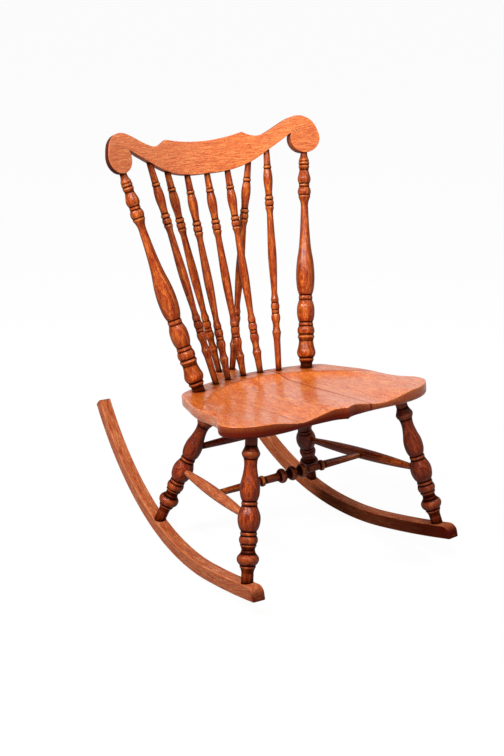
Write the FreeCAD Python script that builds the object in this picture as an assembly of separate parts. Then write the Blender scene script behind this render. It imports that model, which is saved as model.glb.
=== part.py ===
import FreeCAD, Part
import math
import os

# An armless sewing rocker of golden oak, about 1900: a glued-up saddle seat with a bobtail behind it,
# turned legs and stretchers on two bent rockers, turned back posts, five upright spindles, two brace
# spindles that rise from the bobtail, and a bent crest rail with a round scroll at each end.
# Millimetres and degrees. X is to the right as seen from the front, Y to the back, Z up. The chair is
# laid out from the line of its front feet (Y = 0) and set down at the end with the centre of its
# footprint at the origin. The seat has its own frame: its top plane, tilted down to the back.

# Fits and working values
joint_clearance = 0.15
overrun = 20.0
angle_step = 0.00001
parallel_limit = 0.001
flat_limit = 0.01

# Seat
seat_front_height = 364.4
seat_tilt_angle = 7.4
seat_width = 458.0
seat_depth = 376.0
seat_thickness = 24.0
seat_lower_round = 7.0
seat_joint_left = 100.0
seat_joint_right = 60.0
bowl_depth = 8.5
thigh_depth = 11.0
bobtail_reach = 70.0
bobtail_thickness = 20.0
bobtail_width = 60.0
bobtail_neck_width = 30.0
bobtail_corner_round = 9.0
bobtail_waist_share = 0.33

# Right half of the seat's outline, as shares of its half width and of its depth
side_shares = [(0.328, 0.976), (0.655, 0.898), (0.725, 0.862), (0.768, 0.800), (0.803, 0.726), (0.852, 0.628),
               (0.884, 0.500), (0.890, 0.398), (0.935, 0.300), (0.992, 0.235), (0.990, 0.170), (0.930, 0.113),
               (0.830, 0.070), (0.680, 0.043), (0.490, 0.040), (0.306, 0.048), (0.105, 0.042)]
nose_shares = [(0.105, 0.042), (0.048, 0.030), (0.000, 0.011)]

# Saddle of the seat, as shares of the half width and of the depth
ridge_middle_share = 0.885
ridge_drop_share = 0.49
ridge_run_share = 0.10
bowl_centre_share = 0.62
bowl_run_share = 0.62
rim_run_share = 0.20
rim_half_width_share = 0.84
thigh_centre_share = 0.385
thigh_half_width_share = 0.34
saddle_columns = 21
saddle_rows = 19

# Legs, all four to one pattern, with the axis crossing the seat's top plane at these shares of its half
# width and of its depth; the plain foot below the pattern is longer by the lift on the back legs, and
# the back feet stand at a share of the seat's depth behind the front ones
leg_front_shares = (0.7144, 0.1992)
leg_back_shares = (0.3965, 0.8005)
leg_neck_length = 33.9
leg_ball = 41.8
leg_cover = 8.0
leg_back_lift = 5.5
foot_tenon = 15.0
foot_tenon_depth = 15.0
front_foot_half_span = 222.5
back_foot_half_span = 189.9
back_foot_depth_share = 1.0066

# Leg turning from the foot up, as shares of the pattern's length and of the ball
leg_shares = [
    [(0.000, 0.540), (0.070, 0.536)],
    [(0.070, 0.536), (0.092, 0.600), (0.109, 0.713)],
    [(0.109, 0.713), (0.120, 0.680)],
    [(0.120, 0.680), (0.144, 0.920), (0.163, 0.971), (0.182, 0.910), (0.205, 0.680), (0.226, 0.590)],
    [(0.226, 0.590), (0.243, 0.630), (0.256, 0.727)],
    [(0.256, 0.727), (0.266, 0.690)],
    [(0.266, 0.690), (0.294, 0.825), (0.325, 0.690)],
    [(0.325, 0.690), (0.338, 0.740), (0.352, 0.670)],
    [(0.352, 0.670), (0.372, 0.820), (0.405, 0.955), (0.442, 1.000), (0.478, 0.930), (0.504, 0.806),
     (0.532, 0.667)],
    [(0.532, 0.667), (0.545, 0.720), (0.559, 0.650)],
    [(0.559, 0.650), (0.573, 0.730), (0.600, 0.833), (0.642, 0.876), (0.690, 0.823), (0.725, 0.713),
     (0.759, 0.629), (0.811, 0.565), (0.849, 0.612)],
    [(0.849, 0.612), (0.862, 0.700), (0.886, 0.806), (0.910, 0.700), (0.938, 0.548)],
    [(0.938, 0.548), (1.000, 0.548)],
]
leg_ball_share = 0.442
leg_bulge_share = 0.642

# Rockers: three tangent arcs along the lower edge, the front one nearly straight
rocker_front_radius = 2250.0
rocker_middle_radius = 628.0
rocker_back_radius = 534.0
rocker_front_break_angle = -11.2
rocker_back_break_angle = 2.0
rocker_front_end_angle = -16.3
rocker_back_end_angle = 49.9
rocker_depth = 27.0
rocker_width = 25.0
rocker_low_setback = 269.9
rocker_front_round = 17.0
rocker_back_round = 6.0

# Stretchers
side_stretcher_middle = 22.5
side_stretcher_end = 11.5
centre_stretcher_share = 0.477
centre_stretcher_disc = 29.5
rear_stretcher_middle = 17.0
rear_stretcher_end = 12.5
stretcher_tenon_depth = 11.0
centre_tenon_depth = 6.5

# Half of the centre stretcher from its middle out, as shares of its half length and of the discs
centre_shares = [
    [(0.040, 0.680), (0.071, 0.560), (0.102, 0.680)],
    [(0.102, 0.680), (0.142, 1.000), (0.182, 0.650)],
    [(0.182, 0.650), (0.216, 0.560), (0.250, 0.545)],
    [(0.250, 0.545), (0.381, 0.525)],
    [(0.381, 0.525), (0.397, 0.705)],
    [(0.397, 0.705), (0.411, 0.740), (0.426, 0.705)],
    [(0.426, 0.705), (0.443, 0.555)],
    [(0.443, 0.555), (1.000, 0.405)],
]

# Back posts
post_place_shares = (0.5629, 0.8527)
post_vase = 38.4
post_top_inset = 3.6
post_tenon = 11.0
post_tenon_depth = 28.0
post_seat_depth = 15.0

# Post turning from the seat up, as shares of its length to the scroll and of its lower vase
post_shares = [
    [(0.000, 0.638), (0.022, 0.640)],
    [(0.022, 0.640), (0.030, 0.740), (0.036, 0.807)],
    [(0.036, 0.807), (0.043, 0.747)],
    [(0.043, 0.747), (0.055, 0.922), (0.069, 1.000), (0.087, 0.917), (0.101, 0.841), (0.122, 0.768)],
    [(0.122, 0.768), (0.134, 0.830), (0.141, 0.917)],
    [(0.141, 0.917), (0.153, 0.807)],
    [(0.153, 0.807), (0.172, 0.922), (0.192, 0.763)],
    [(0.192, 0.763), (0.200, 0.790), (0.209, 0.727)],
    [(0.209, 0.727), (0.227, 0.867), (0.245, 0.935), (0.263, 0.951), (0.289, 0.896), (0.303, 0.800),
     (0.315, 0.703)],
    [(0.315, 0.703), (0.325, 0.745), (0.335, 0.682)],
    [(0.335, 0.682), (0.345, 0.768), (0.359, 0.862), (0.382, 0.945), (0.429, 0.995), (0.476, 0.935),
     (0.499, 0.872), (0.546, 0.698), (0.593, 0.583), (0.639, 0.505), (0.686, 0.450), (0.749, 0.396)],
    [(0.749, 0.396), (0.775, 0.470), (0.794, 0.648)],
    [(0.794, 0.648), (0.802, 0.615)],
    [(0.802, 0.615), (0.818, 0.708), (0.840, 0.544)],
    [(0.840, 0.544), (0.847, 0.572), (0.854, 0.544)],
    [(0.854, 0.544), (0.875, 0.698), (0.895, 0.620), (0.918, 0.484)],
    [(0.918, 0.484), (0.928, 0.530), (0.934, 0.589)],
    [(0.934, 0.589), (0.943, 0.521)],
    [(0.943, 0.521), (0.950, 0.585), (0.957, 0.540)],
    [(0.957, 0.540), (0.967, 0.550)],
    [(0.967, 0.550), (0.982, 0.410), (1.000, 0.367)],
]

# Spindles: where the five uprights cross the seat's top plane, as shares of its half width and of its
# depth, how far apart the two braces stand on the bobtail, and how far out along the crest all end
outer_shares = (0.3297, 0.9136)
inner_shares = (0.1699, 0.9497)
middle_shares = (0.0, 0.9585)
brace_half_span = 16.0
brace_reach = 53.0
outer_crest_offset = 136.2
inner_crest_offset = 47.3
brace_crest_offset = 94.8
spindle_swell = 19.1
spindle_neck_length = 33.5
left_outer_neck_length = 41.0
middle_foot_length = 24.4
spindle_top = 12.2
spindle_foot = 12.0
spindle_tenon = 9.5
spindle_tenon_depth = 12.0
spindle_seat_depth = 13.0

# Spindle turning from the collar down, as shares of the pattern's length and of the swell
spindle_shares = [
    [(-0.006, 0.760), (0.002, 0.890), (0.011, 0.765)],
    [(0.011, 0.765), (0.061, 1.000), (0.105, 0.930), (0.149, 0.770), (0.168, 0.755)],
    [(0.168, 0.755), (0.180, 0.948), (0.192, 0.800)],
    [(0.192, 0.800), (0.211, 0.974), (0.227, 0.820)],
    [(0.227, 0.820), (0.235, 0.932), (0.243, 0.860)],
    [(0.243, 0.860), (0.256, 0.740), (0.278, 0.675)],
    [(0.278, 0.675), (0.390, 0.800), (0.508, 0.932), (0.620, 0.810), (0.708, 0.649)],
    [(0.708, 0.649), (0.742, 0.700), (0.762, 0.864)],
    [(0.762, 0.864), (0.784, 0.785)],
    [(0.784, 0.785), (0.808, 0.942), (0.826, 0.800)],
    [(0.826, 0.800), (0.836, 0.855), (0.845, 0.796)],
    [(0.845, 0.796), (0.869, 0.979), (0.893, 0.820)],
    [(0.893, 0.820), (0.905, 0.740), (0.918, 0.707)],
    [(0.918, 0.707), (0.938, 0.800), (0.954, 0.984)],
    [(0.954, 0.984), (0.975, 0.840), (1.000, 0.733)],
]

# Crest rail: a bent board, placed in the seat's frame by how far the middle of its lower edge lies
# behind the seat and above it
crest_behind_seat = 67.1
crest_height = 405.6
crest_lean_angle = 11.54
crest_thickness = 15.5
crest_bend_radius = 430.0
crest_bend_angle = 18.5
crest_rise = 90.5
scroll_radius = 29.5
scroll_offset = 213.5
scroll_centre_height = 42.5
scroll_notch_angle = 146.0
scroll_leave_angle = 375.0

# Crest outline, as shares of its half width and of its rise
crest_lower_shares = [(0.195, 0.012), (0.325, 0.068), (0.434, 0.163), (0.570, 0.345), (0.725, 0.565)]
crest_shoulder_shares = [(0.962, 0.812), (0.905, 0.950), (0.844, 1.000), (0.716, 0.912), (0.580, 0.744),
                         (0.490, 0.688), (0.432, 0.722)]
crest_ear_share = (0.364, 0.818)
crest_middle_share = 0.718

vector = FreeCAD.Vector
origin = vector(0, 0, 0)
across = vector(1, 0, 0)
up = vector(0, 0, 1)


def line(start, end):
    return Part.LineSegment(start, end).toShape()


def curve(points):
    """A straight line through two points, an arc through three, a smooth curve through more."""
    if len(points) == 2:
        return line(points[0], points[1])
    if len(points) == 3:
        return Part.Arc(points[0], points[1], points[2]).toShape()
    smooth = Part.BSplineCurve()
    smooth.interpolate(points)
    return smooth.toShape()


def prism(edges, direction):
    """A closed outline carried along a direction."""
    return Part.Face(Part.Wire(edges)).extrude(direction)


def reflected(points):
    """The points of an outline on the other side of the chair, in the opposite order."""
    return [vector(-point.x, point.y, point.z) for point in reversed(points)]


def mirrored(shape):
    return shape.mirror(origin, across)


def rod(start, end, diameter):
    """A plain round rod, for tenons and for the holes that take them."""
    axis = end - start
    return Part.makeCylinder(diameter / 2, axis.Length, start, axis)


def hole(start, end, diameter):
    """A hole for a rod from start, at its bottom, to end, outside its mouth."""
    axis = (end - start).normalize()
    return rod(start - axis * joint_clearance, end, diameter + 2 * joint_clearance)


def turned(start, end, stretches):
    """A piece turned about the line from start to end, from stretches of (distance, diameter) marks."""
    drawn = [[vector(wide / 2, 0, at) for at, wide in stretch] for stretch in stretches]
    foot = vector(0, 0, drawn[0][0].z)
    head = vector(0, 0, drawn[-1][-1].z)
    edges = [line(foot, drawn[0][0])]
    for stretch in drawn:
        edges.append(curve(stretch))
    edges.append(line(drawn[-1][-1], head))
    edges.append(line(head, foot))
    solid = Part.Face(Part.Wire(edges)).revolve(origin, up, 360)
    solid.Placement = FreeCAD.Placement(start, FreeCAD.Rotation(up, end - start))
    return solid


def marks(table, length, largest, first=0):
    """A table of shares made into distances and diameters, with the pattern starting at first."""
    return [[(first + at * length, wide * largest) for at, wide in stretch] for stretch in table]


def placed(shape, frame):
    shape.Placement = frame * shape.Placement
    return shape


def main_solid(shape):
    return max(shape.Solids, key=lambda solid: solid.Volume)


# Rockers, drawn in the plane of their middle, which toes in towards the back
def rocker_edge(angle, rise):
    """The point above the lower edge, by rise, where the edge has this slope in degrees."""
    slope = math.radians(angle)
    front_break = math.radians(rocker_front_break_angle)
    back_break = math.radians(rocker_back_break_angle)
    front = min(slope, front_break)
    middle = min(max(slope, front_break), back_break)
    back = max(slope, back_break)
    along = rocker_middle_radius * math.sin(middle)
    along += rocker_front_radius * (math.sin(front) - math.sin(front_break))
    along += rocker_back_radius * (math.sin(back) - math.sin(back_break))
    height = rocker_middle_radius * (1 - math.cos(middle))
    height += rocker_front_radius * (math.cos(front_break) - math.cos(front))
    height += rocker_back_radius * (math.cos(back_break) - math.cos(back))
    return vector(0, rocker_low_setback + along - rise * math.sin(slope), height + rise * math.cos(slope))


def rocker_top(along):
    """The point of the upper edge at this distance behind the front feet, found by halving."""
    low = rocker_front_end_angle
    high = rocker_back_end_angle
    while high - low > angle_step:
        middle = (low + high) / 2
        if rocker_edge(middle, rocker_depth).y < along:
            low = middle
        else:
            high = middle
    return rocker_edge(low, rocker_depth)


def rocker_board(low, high, width):
    """The rocker's outline between two rises over its lower edge, carried across a width."""
    bends = [rocker_front_end_angle, rocker_front_break_angle, rocker_back_break_angle, rocker_back_end_angle]
    spans = list(zip(bends, bends[1:]))
    edges = [curve([rocker_edge(angle, low) for angle in (a, (a + b) / 2, b)]) for a, b in spans]
    edges.append(line(rocker_edge(rocker_back_end_angle, low), rocker_edge(rocker_back_end_angle, high)))
    for a, b in reversed(spans):
        edges.append(curve([rocker_edge(angle, high) for angle in (b, (a + b) / 2, a)]))
    edges.append(line(rocker_edge(rocker_front_end_angle, high), rocker_edge(rocker_front_end_angle, low)))
    board = prism(edges, across * width)
    board.translate(across * (-width / 2))
    return board


def corner(solid, point, direction):
    """The solid's edge along this direction that passes nearest to a point."""
    straight = [edge for edge in solid.Edges
                if abs(abs(edge.tangentAt(edge.FirstParameter).dot(direction)) - 1) < parallel_limit]
    return min(straight, key=lambda edge: edge.distToShape(Part.Vertex(point))[0])


def make_rocker():
    board = rocker_board(0, rocker_depth, rocker_width)
    ends = ((rocker_front_end_angle, rocker_front_round), (rocker_back_end_angle, rocker_back_round))
    for angle, radius in ends:
        board = board.makeFillet(radius, [corner(board, rocker_edge(angle, rocker_depth), across)])
    return placed(board, rocker_frame)


back_foot_setback = back_foot_depth_share * seat_depth
toe_in = math.degrees(math.atan2(front_foot_half_span - back_foot_half_span, back_foot_setback))
rocker_frame = FreeCAD.Placement(vector(front_foot_half_span, 0, 0), FreeCAD.Rotation(up, toe_in))
back_foot_along = back_foot_setback / math.cos(math.radians(toe_in))
rocker = make_rocker()


# The seat's frame
seat_frame = FreeCAD.Placement(vector(0, 0, seat_front_height), FreeCAD.Rotation(across, -seat_tilt_angle))
seat_normal = seat_frame.Rotation.multVec(up)


def outline_point(share):
    """A point of the seat's top plane, from shares of its half width and of its depth."""
    return vector(share[0] * seat_width / 2, share[1] * seat_depth, 0)


def on_seat(share):
    return seat_frame.multVec(outline_point(share))


# Legs of the right side; those of the left are their mirror images. The pattern reaches from the foot of
# a front leg to the plain neck under the seat.
front_foot = rocker_frame.multVec(rocker_top(0))
leg_pattern = (on_seat(leg_front_shares) - front_foot).Length - leg_neck_length


class Leg:
    """A leg: its axis runs from its foot on the rocker to its place on the seat."""

    def __init__(self, along, share, lift):
        top = on_seat(share)
        self.lift = lift
        self.foot = rocker_frame.multVec(rocker_top(along))
        self.axis = (top - self.foot).normalize()
        head = top - self.axis * (leg_cover / self.axis.dot(seat_normal))
        stretches = marks(leg_shares, leg_pattern, leg_ball, lift)
        foot_width = stretches[0][0][1]
        neck_width = stretches[-1][-1][1]
        stretches[0][0] = (-foot_width, foot_width)
        stretches[-1][-1] = ((head - self.foot).Length, neck_width)
        body = turned(self.foot, self.foot + self.axis, stretches)
        bearing = rocker_board(-overrun, rocker_depth + joint_clearance, rocker_width + 2 * overrun)
        bearing = placed(bearing, rocker_frame)
        tenon_end = self.foot - self.axis * foot_tenon_depth
        tenon = rod(tenon_end, self.foot + self.axis * foot_width, foot_tenon)
        self.solid = main_solid(body.cut(bearing)).fuse(tenon)
        self.mortise = hole(tenon_end, self.foot + self.axis * overrun, foot_tenon)
        self.socket = hole(head, head - self.axis * (seat_thickness + overrun), neck_width)

    def at(self, share):
        return self.foot + self.axis * (self.lift + share * leg_pattern)


leg_front = Leg(0, leg_front_shares, 0)
leg_back = Leg(back_foot_along, leg_back_shares, leg_back_lift)
rocker = rocker.cut(leg_front.mortise).cut(leg_back.mortise)


# Stretchers, whose ends are let into the legs and into the side stretchers
class PlainStretcher:
    """A stretcher that swells between two straight tenons, which stop at a gap from the points it joins."""

    def __init__(self, start, end, gap, middle, tip):
        self.axis = (end - start).normalize()
        self.start = start + self.axis * gap
        self.end = end - self.axis * gap
        self.tip = tip
        length = (self.end - self.start).Length
        shoulder = length - stretcher_tenon_depth
        swell = [(stretcher_tenon_depth, tip), (length / 2, middle), (shoulder, tip)]
        self.solid = turned(self.start, self.end, [[(0, tip), swell[0]], swell, [swell[-1], (length, tip)]])

    def start_hole(self):
        return hole(self.start, self.start + self.axis * overrun, self.tip)

    def end_hole(self):
        return hole(self.end, self.end - self.axis * overrun, self.tip)


ball_gap = leg_ball / 2 - stretcher_tenon_depth
side = PlainStretcher(leg_front.at(leg_ball_share), leg_back.at(leg_ball_share), ball_gap,
                      side_stretcher_middle, side_stretcher_end)
leg_front.solid = leg_front.solid.cut(side.start_hole())
leg_back.solid = leg_back.solid.cut(side.end_hole())

right_bulge = leg_back.at(leg_bulge_share)
left_bulge = vector(-right_bulge.x, right_bulge.y, right_bulge.z)
rear = PlainStretcher(left_bulge, right_bulge, ball_gap, rear_stretcher_middle, rear_stretcher_end)
leg_back.solid = leg_back.solid.cut(rear.end_hole())

crossing = side.start + (side.end - side.start) * centre_stretcher_share
centre_half = crossing.x - side_stretcher_middle / 2 + centre_tenon_depth
centre_middle = vector(0, crossing.y, crossing.z)
half_marks = marks(centre_shares, centre_half, centre_stretcher_disc)
other_half = [[(-at, wide) for at, wide in reversed(stretch)] for stretch in reversed(half_marks)]
middle_at, middle_wide = half_marks[0][0]
middle_disc = [(-middle_at, middle_wide), (0, centre_stretcher_disc), (middle_at, middle_wide)]
centre_stretcher = turned(centre_middle, centre_middle + across, other_half + [middle_disc] + half_marks)
centre_end = centre_middle + across * centre_half
side.solid = side.solid.cut(hole(centre_end, centre_end - across * overrun, half_marks[-1][-1][1]))


# Crest rail, drawn flat in its own frame: X along it, Y through it to the back, Z up its face
crest_frame = seat_frame * FreeCAD.Placement(
    vector(0, seat_depth + crest_behind_seat, crest_height), FreeCAD.Rotation(across, -crest_lean_angle))
crest_half_width = scroll_offset + scroll_radius
bend = math.radians(crest_bend_angle)
wing = crest_half_width - crest_bend_radius * math.sin(bend) + overrun


def crest_arc(offset):
    """The bend of one face: left end, middle and right end, offset from the middle of the board."""
    radius = crest_bend_radius + offset
    side_point = vector(radius * math.sin(bend), radius * math.cos(bend) - crest_bend_radius, 0)
    return [vector(-side_point.x, side_point.y, 0), vector(0, offset, 0), side_point]


def crest_middle(x):
    """How far the middle of the bent board lies in front of its centre, at this distance along it."""
    if x < crest_bend_radius * math.sin(bend):
        return math.sqrt(crest_bend_radius ** 2 - x ** 2) - crest_bend_radius
    return crest_bend_radius * (1 / math.cos(bend) - 1) - x * math.tan(bend)


def bent_board():
    """The board before its outline is sawn: an arc between two straight wings."""
    front = crest_arc(-crest_thickness / 2)
    back = crest_arc(crest_thickness / 2)
    right_wing = vector(math.cos(bend), -math.sin(bend), 0) * (wing / math.cos(bend))
    left_wing = vector(-right_wing.x, right_wing.y, 0)
    edges = [curve(front), line(front[2], front[2] + right_wing),
             line(front[2] + right_wing, back[2] + right_wing), line(back[2] + right_wing, back[2]),
             curve(list(reversed(back))), line(back[0], back[0] + left_wing),
             line(back[0] + left_wing, front[0] + left_wing), line(front[0] + left_wing, front[0])]
    board = prism(edges, up * (crest_rise + 2 * overrun))
    board.translate(up * -overrun)
    return board


def crest_point(share):
    return vector(share[0] * crest_half_width, 0, share[1] * crest_rise)


def scroll_point(angle):
    turn = math.radians(angle)
    return vector(scroll_offset + scroll_radius * math.cos(turn), 0,
                  scroll_centre_height + scroll_radius * math.sin(turn))


def crest_outline():
    """The sawn outline: lower curve, a round scroll at each end, shoulders, ears and the hollow between."""
    notch = scroll_point(scroll_notch_angle)
    below = [crest_point(share) for share in crest_lower_shares] + [notch]
    lower = reflected(below) + [origin] + below
    scroll = [notch, scroll_point((scroll_notch_angle + scroll_leave_angle) / 2),
              scroll_point(scroll_leave_angle)]
    ear = crest_point(crest_ear_share)
    shoulder = [scroll[-1]] + [crest_point(share) for share in crest_shoulder_shares] + [ear]
    hollow = [ear, crest_point((0, crest_middle_share)), vector(-ear.x, 0, ear.z)]
    return [curve(part) for part in (lower, scroll, shoulder, hollow, reflected(shoulder), reflected(scroll))]


outline = crest_outline()
lower_edge = outline[0]
sawn = prism(outline, vector(0, 2 * crest_bend_radius, 0))
sawn.translate(vector(0, -crest_bend_radius, 0))
crest = placed(bent_board().common(sawn), crest_frame)
crest_down = crest_frame.Rotation.multVec(up) * -joint_clearance
crest_bearing = crest.copy()
crest_bearing.translate(crest_down)


def crest_foot(x):
    """The point of the crest's lower curve at this distance along it, at the middle of the board."""
    plumb = line(vector(x, 0, -crest_rise), vector(x, 0, crest_rise))
    level = lower_edge.distToShape(plumb)[1][0][0].z
    return crest_frame.multVec(vector(x, crest_middle(abs(x)), level))


# Back posts and spindles: each runs from a hole in the seat to a tenon in the crest
class Upright:
    """A turned upright between a point of the seat and a point of the crest's lower edge."""

    def __init__(self, foot, head, seat_depth, tenon, tenon_depth):
        self.foot = foot
        self.head = head
        self.axis = (head - foot).normalize()
        self.length = (head - foot).Length
        self.seat_depth = seat_depth
        self.tenon = tenon
        self.tenon_depth = tenon_depth

    def turn(self, stretches):
        """The solid, from marks measured up from the seat; its ends are run on into seat and crest."""
        foot_width = stretches[0][0][1]
        head_width = stretches[-1][-1][1]
        stretches = [[(-self.seat_depth, foot_width), (0, foot_width)]] + stretches
        stretches.append([(self.length, head_width), (self.length + head_width / 2, head_width)])
        body = turned(self.foot, self.head, stretches)
        tenon_end = self.head + self.axis * self.tenon_depth
        below = self.head - self.axis * head_width
        self.solid = main_solid(body.cut(crest_bearing)).fuse(rod(below, tenon_end, self.tenon))
        bottom = self.foot - self.axis * self.seat_depth
        self.seat_hole = hole(bottom, self.foot + self.axis * overrun, foot_width)
        self.crest_hole = hole(tenon_end, self.head - self.axis * overrun, self.tenon)
        return self


def make_post():
    inner = scroll_offset - post_top_inset
    drop = math.sqrt(scroll_radius ** 2 - post_top_inset ** 2)
    top = crest_frame.multVec(vector(inner, crest_middle(inner), scroll_centre_height - drop))
    post = Upright(on_seat(post_place_shares), top, post_seat_depth, post_tenon, post_tenon_depth)
    return post.turn(marks(post_shares, post.length, post_vase))


def spindle_line(seat_point, crest_offset):
    return Upright(seat_point, crest_foot(crest_offset), spindle_seat_depth, spindle_tenon,
                   spindle_tenon_depth)


middle = spindle_line(on_seat(middle_shares), 0)
spindle_pattern = middle.length - spindle_neck_length - middle_foot_length


def turn_spindle(spindle, neck_length):
    """One pattern for all, hung under the neck, with the plain foot below it as long as it comes."""
    pattern = marks(spindle_shares, -spindle_pattern, spindle_swell, spindle.length - neck_length)
    pattern = [list(reversed(stretch)) for stretch in reversed(pattern)]
    foot = [(0, spindle_foot), pattern[0][0]]
    neck = [pattern[-1][-1], (spindle.length, spindle_top)]
    return spindle.turn([foot] + pattern + [neck])


def row_spindle(share, crest_offset, side_sign, neck_length):
    place = on_seat((side_sign * share[0], share[1]))
    return turn_spindle(spindle_line(place, side_sign * crest_offset), neck_length)


post = make_post()
brace_point = seat_frame.multVec(vector(brace_half_span, seat_depth + brace_reach, 0))
brace = turn_spindle(spindle_line(brace_point, brace_crest_offset), spindle_neck_length)
row = [
    row_spindle(outer_shares, outer_crest_offset, -1, left_outer_neck_length),
    row_spindle(inner_shares, inner_crest_offset, -1, spindle_neck_length),
    turn_spindle(middle, spindle_neck_length),
    row_spindle(inner_shares, inner_crest_offset, 1, spindle_neck_length),
    row_spindle(outer_shares, outer_crest_offset, 1, spindle_neck_length),
]


# Seat: a blank with rounded lower edges and a tongue behind it, then the saddle and the holes
def eased(run):
    """A smooth step from 0 to 1."""
    run = min(max(run, 0), 1)
    return run * run * (3 - 2 * run)


def saddle_depth(x, y):
    """How far the top is hollowed: a bowl before the ridge, running forward into two thigh hollows."""
    half = seat_width / 2
    out = abs(x) / half
    ridge = (ridge_middle_share - ridge_drop_share * out ** 2) * seat_depth
    behind = eased((ridge - y) / (ridge_run_share * seat_depth))
    beside = eased((rim_half_width_share - out) / rim_run_share)
    forward = eased((bowl_centre_share - y / seat_depth) / bowl_run_share)
    thigh = thigh_depth * eased(1 - abs(out - thigh_centre_share) / thigh_half_width_share)
    return behind * beside * (bowl_depth * (1 - forward) + thigh * forward)


def saddle_cutter():
    """All that lies above the hollowed top."""
    half = seat_width / 2 + overrun
    back = seat_depth + bobtail_reach + overrun
    columns = [half * (2 * i / (saddle_columns - 1) - 1) for i in range(saddle_columns)]
    rows = [-overrun + (back + overrun) * j / (saddle_rows - 1) for j in range(saddle_rows)]
    surface = Part.BSplineSurface()
    surface.interpolate([[vector(x, y, -saddle_depth(x, y)) for y in rows] for x in columns])
    return Part.Face(surface).extrude(up * (2 * overrun))


def lower_edges(solid, level):
    """The edges round the underside, which lies at this level."""
    return [edge for edge in solid.Edges if abs(edge.BoundBox.ZMax - level) < flat_limit]


def seat_blank():
    """The sawn board: one smooth curve round the back and both sides, and two flanks of the nose."""
    side = [outline_point(share) for share in side_shares]
    nose = [outline_point(share) for share in nose_shares]
    around = reflected(side) + [outline_point((0, 1))] + side
    edges = [curve(around), curve(nose), curve(reflected(nose))]
    blank = prism(edges, up * (seat_thickness + overrun))
    blank.translate(up * -seat_thickness)
    return blank.makeFillet(seat_lower_round, lower_edges(blank, -seat_thickness))


def bobtail():
    """The fishtail tongue behind the seat that holds the braces."""
    root = outline_point((0, bowl_centre_share)).y
    end = seat_depth + bobtail_reach
    neck = bobtail_neck_width / 2
    half = bobtail_width / 2
    waist = neck + (half - neck) * bobtail_waist_share
    flare = [vector(neck, seat_depth, 0), vector(waist, seat_depth + bobtail_reach / 2, 0),
             vector(half, end, 0)]
    round_end = [flare[-1], vector(0, end + bobtail_corner_round / 2, 0), vector(-half, end, 0)]
    edges = [line(vector(-neck, root, 0), vector(neck, root, 0)), line(vector(neck, root, 0), flare[0]),
             curve(flare), curve(round_end), curve(reflected(flare)),
             line(vector(-neck, seat_depth, 0), vector(-neck, root, 0))]
    tongue = prism(edges, up * (bobtail_thickness + overrun))
    tongue.translate(up * -bobtail_thickness)
    for side_sign in (-1, 1):
        sharp = corner(tongue, vector(side_sign * half, end, 0), up)
        tongue = tongue.makeFillet(bobtail_corner_round, [sharp])
    return tongue


def make_seat():
    seat = placed(seat_blank().fuse(bobtail()).cut(saddle_cutter()), seat_frame)
    one_side = [leg_front.socket, leg_back.socket, post.seat_hole, brace.seat_hole]
    for tool in one_side + [mirrored(tool) for tool in one_side] + [spindle.seat_hole for spindle in row]:
        seat = seat.cut(tool)
    return seat


def board_between(seat, left, right):
    """One board of the glued-up seat, between two joints."""
    length = seat_depth + bobtail_reach + 2 * overrun
    slab = Part.makeBox(right - left, length, 2 * (seat_thickness + overrun))
    slab.translate(vector(left, -overrun, -seat_thickness - overrun))
    return main_solid(seat.common(placed(slab, seat_frame)))


seat = make_seat()
edge_of_seat = seat_width / 2 + overrun

tools = [post.crest_hole, brace.crest_hole]
for tool in tools + [mirrored(tool) for tool in tools] + [spindle.crest_hole for spindle in row]:
    crest = crest.cut(tool)

pieces = {
    "seat_board_left": board_between(seat, -edge_of_seat, -seat_joint_left),
    "seat_board_centre": board_between(seat, -seat_joint_left, seat_joint_right),
    "seat_board_right": board_between(seat, seat_joint_right, edge_of_seat),
    "crest_rail": crest,
    "centre_stretcher": centre_stretcher,
    "rear_stretcher": rear.solid,
}
for number, spindle in enumerate(row):
    pieces["spindle_%d" % (number + 1)] = spindle.solid
pairs = {
    "rocker": rocker,
    "leg_front": leg_front.solid,
    "leg_back": leg_back.solid,
    "side_stretcher": side.solid,
    "back_post": post.solid,
    "brace_spindle": brace.solid,
}
for name, solid in pairs.items():
    pieces[name + "_right"] = solid
    pieces[name + "_left"] = mirrored(solid)

# Set down: the rockers are the longest pieces, so their middle is the middle of the footprint
extent = rocker.BoundBox
set_down = vector(0, -(extent.YMin + extent.YMax) / 2, 0)
os.makedirs("parts", exist_ok=True)
for name, solid in pieces.items():
    solid = main_solid(solid)
    solid.translate(set_down)
    solid.exportStep("parts/%s.step" % name)
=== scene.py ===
import math

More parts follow.
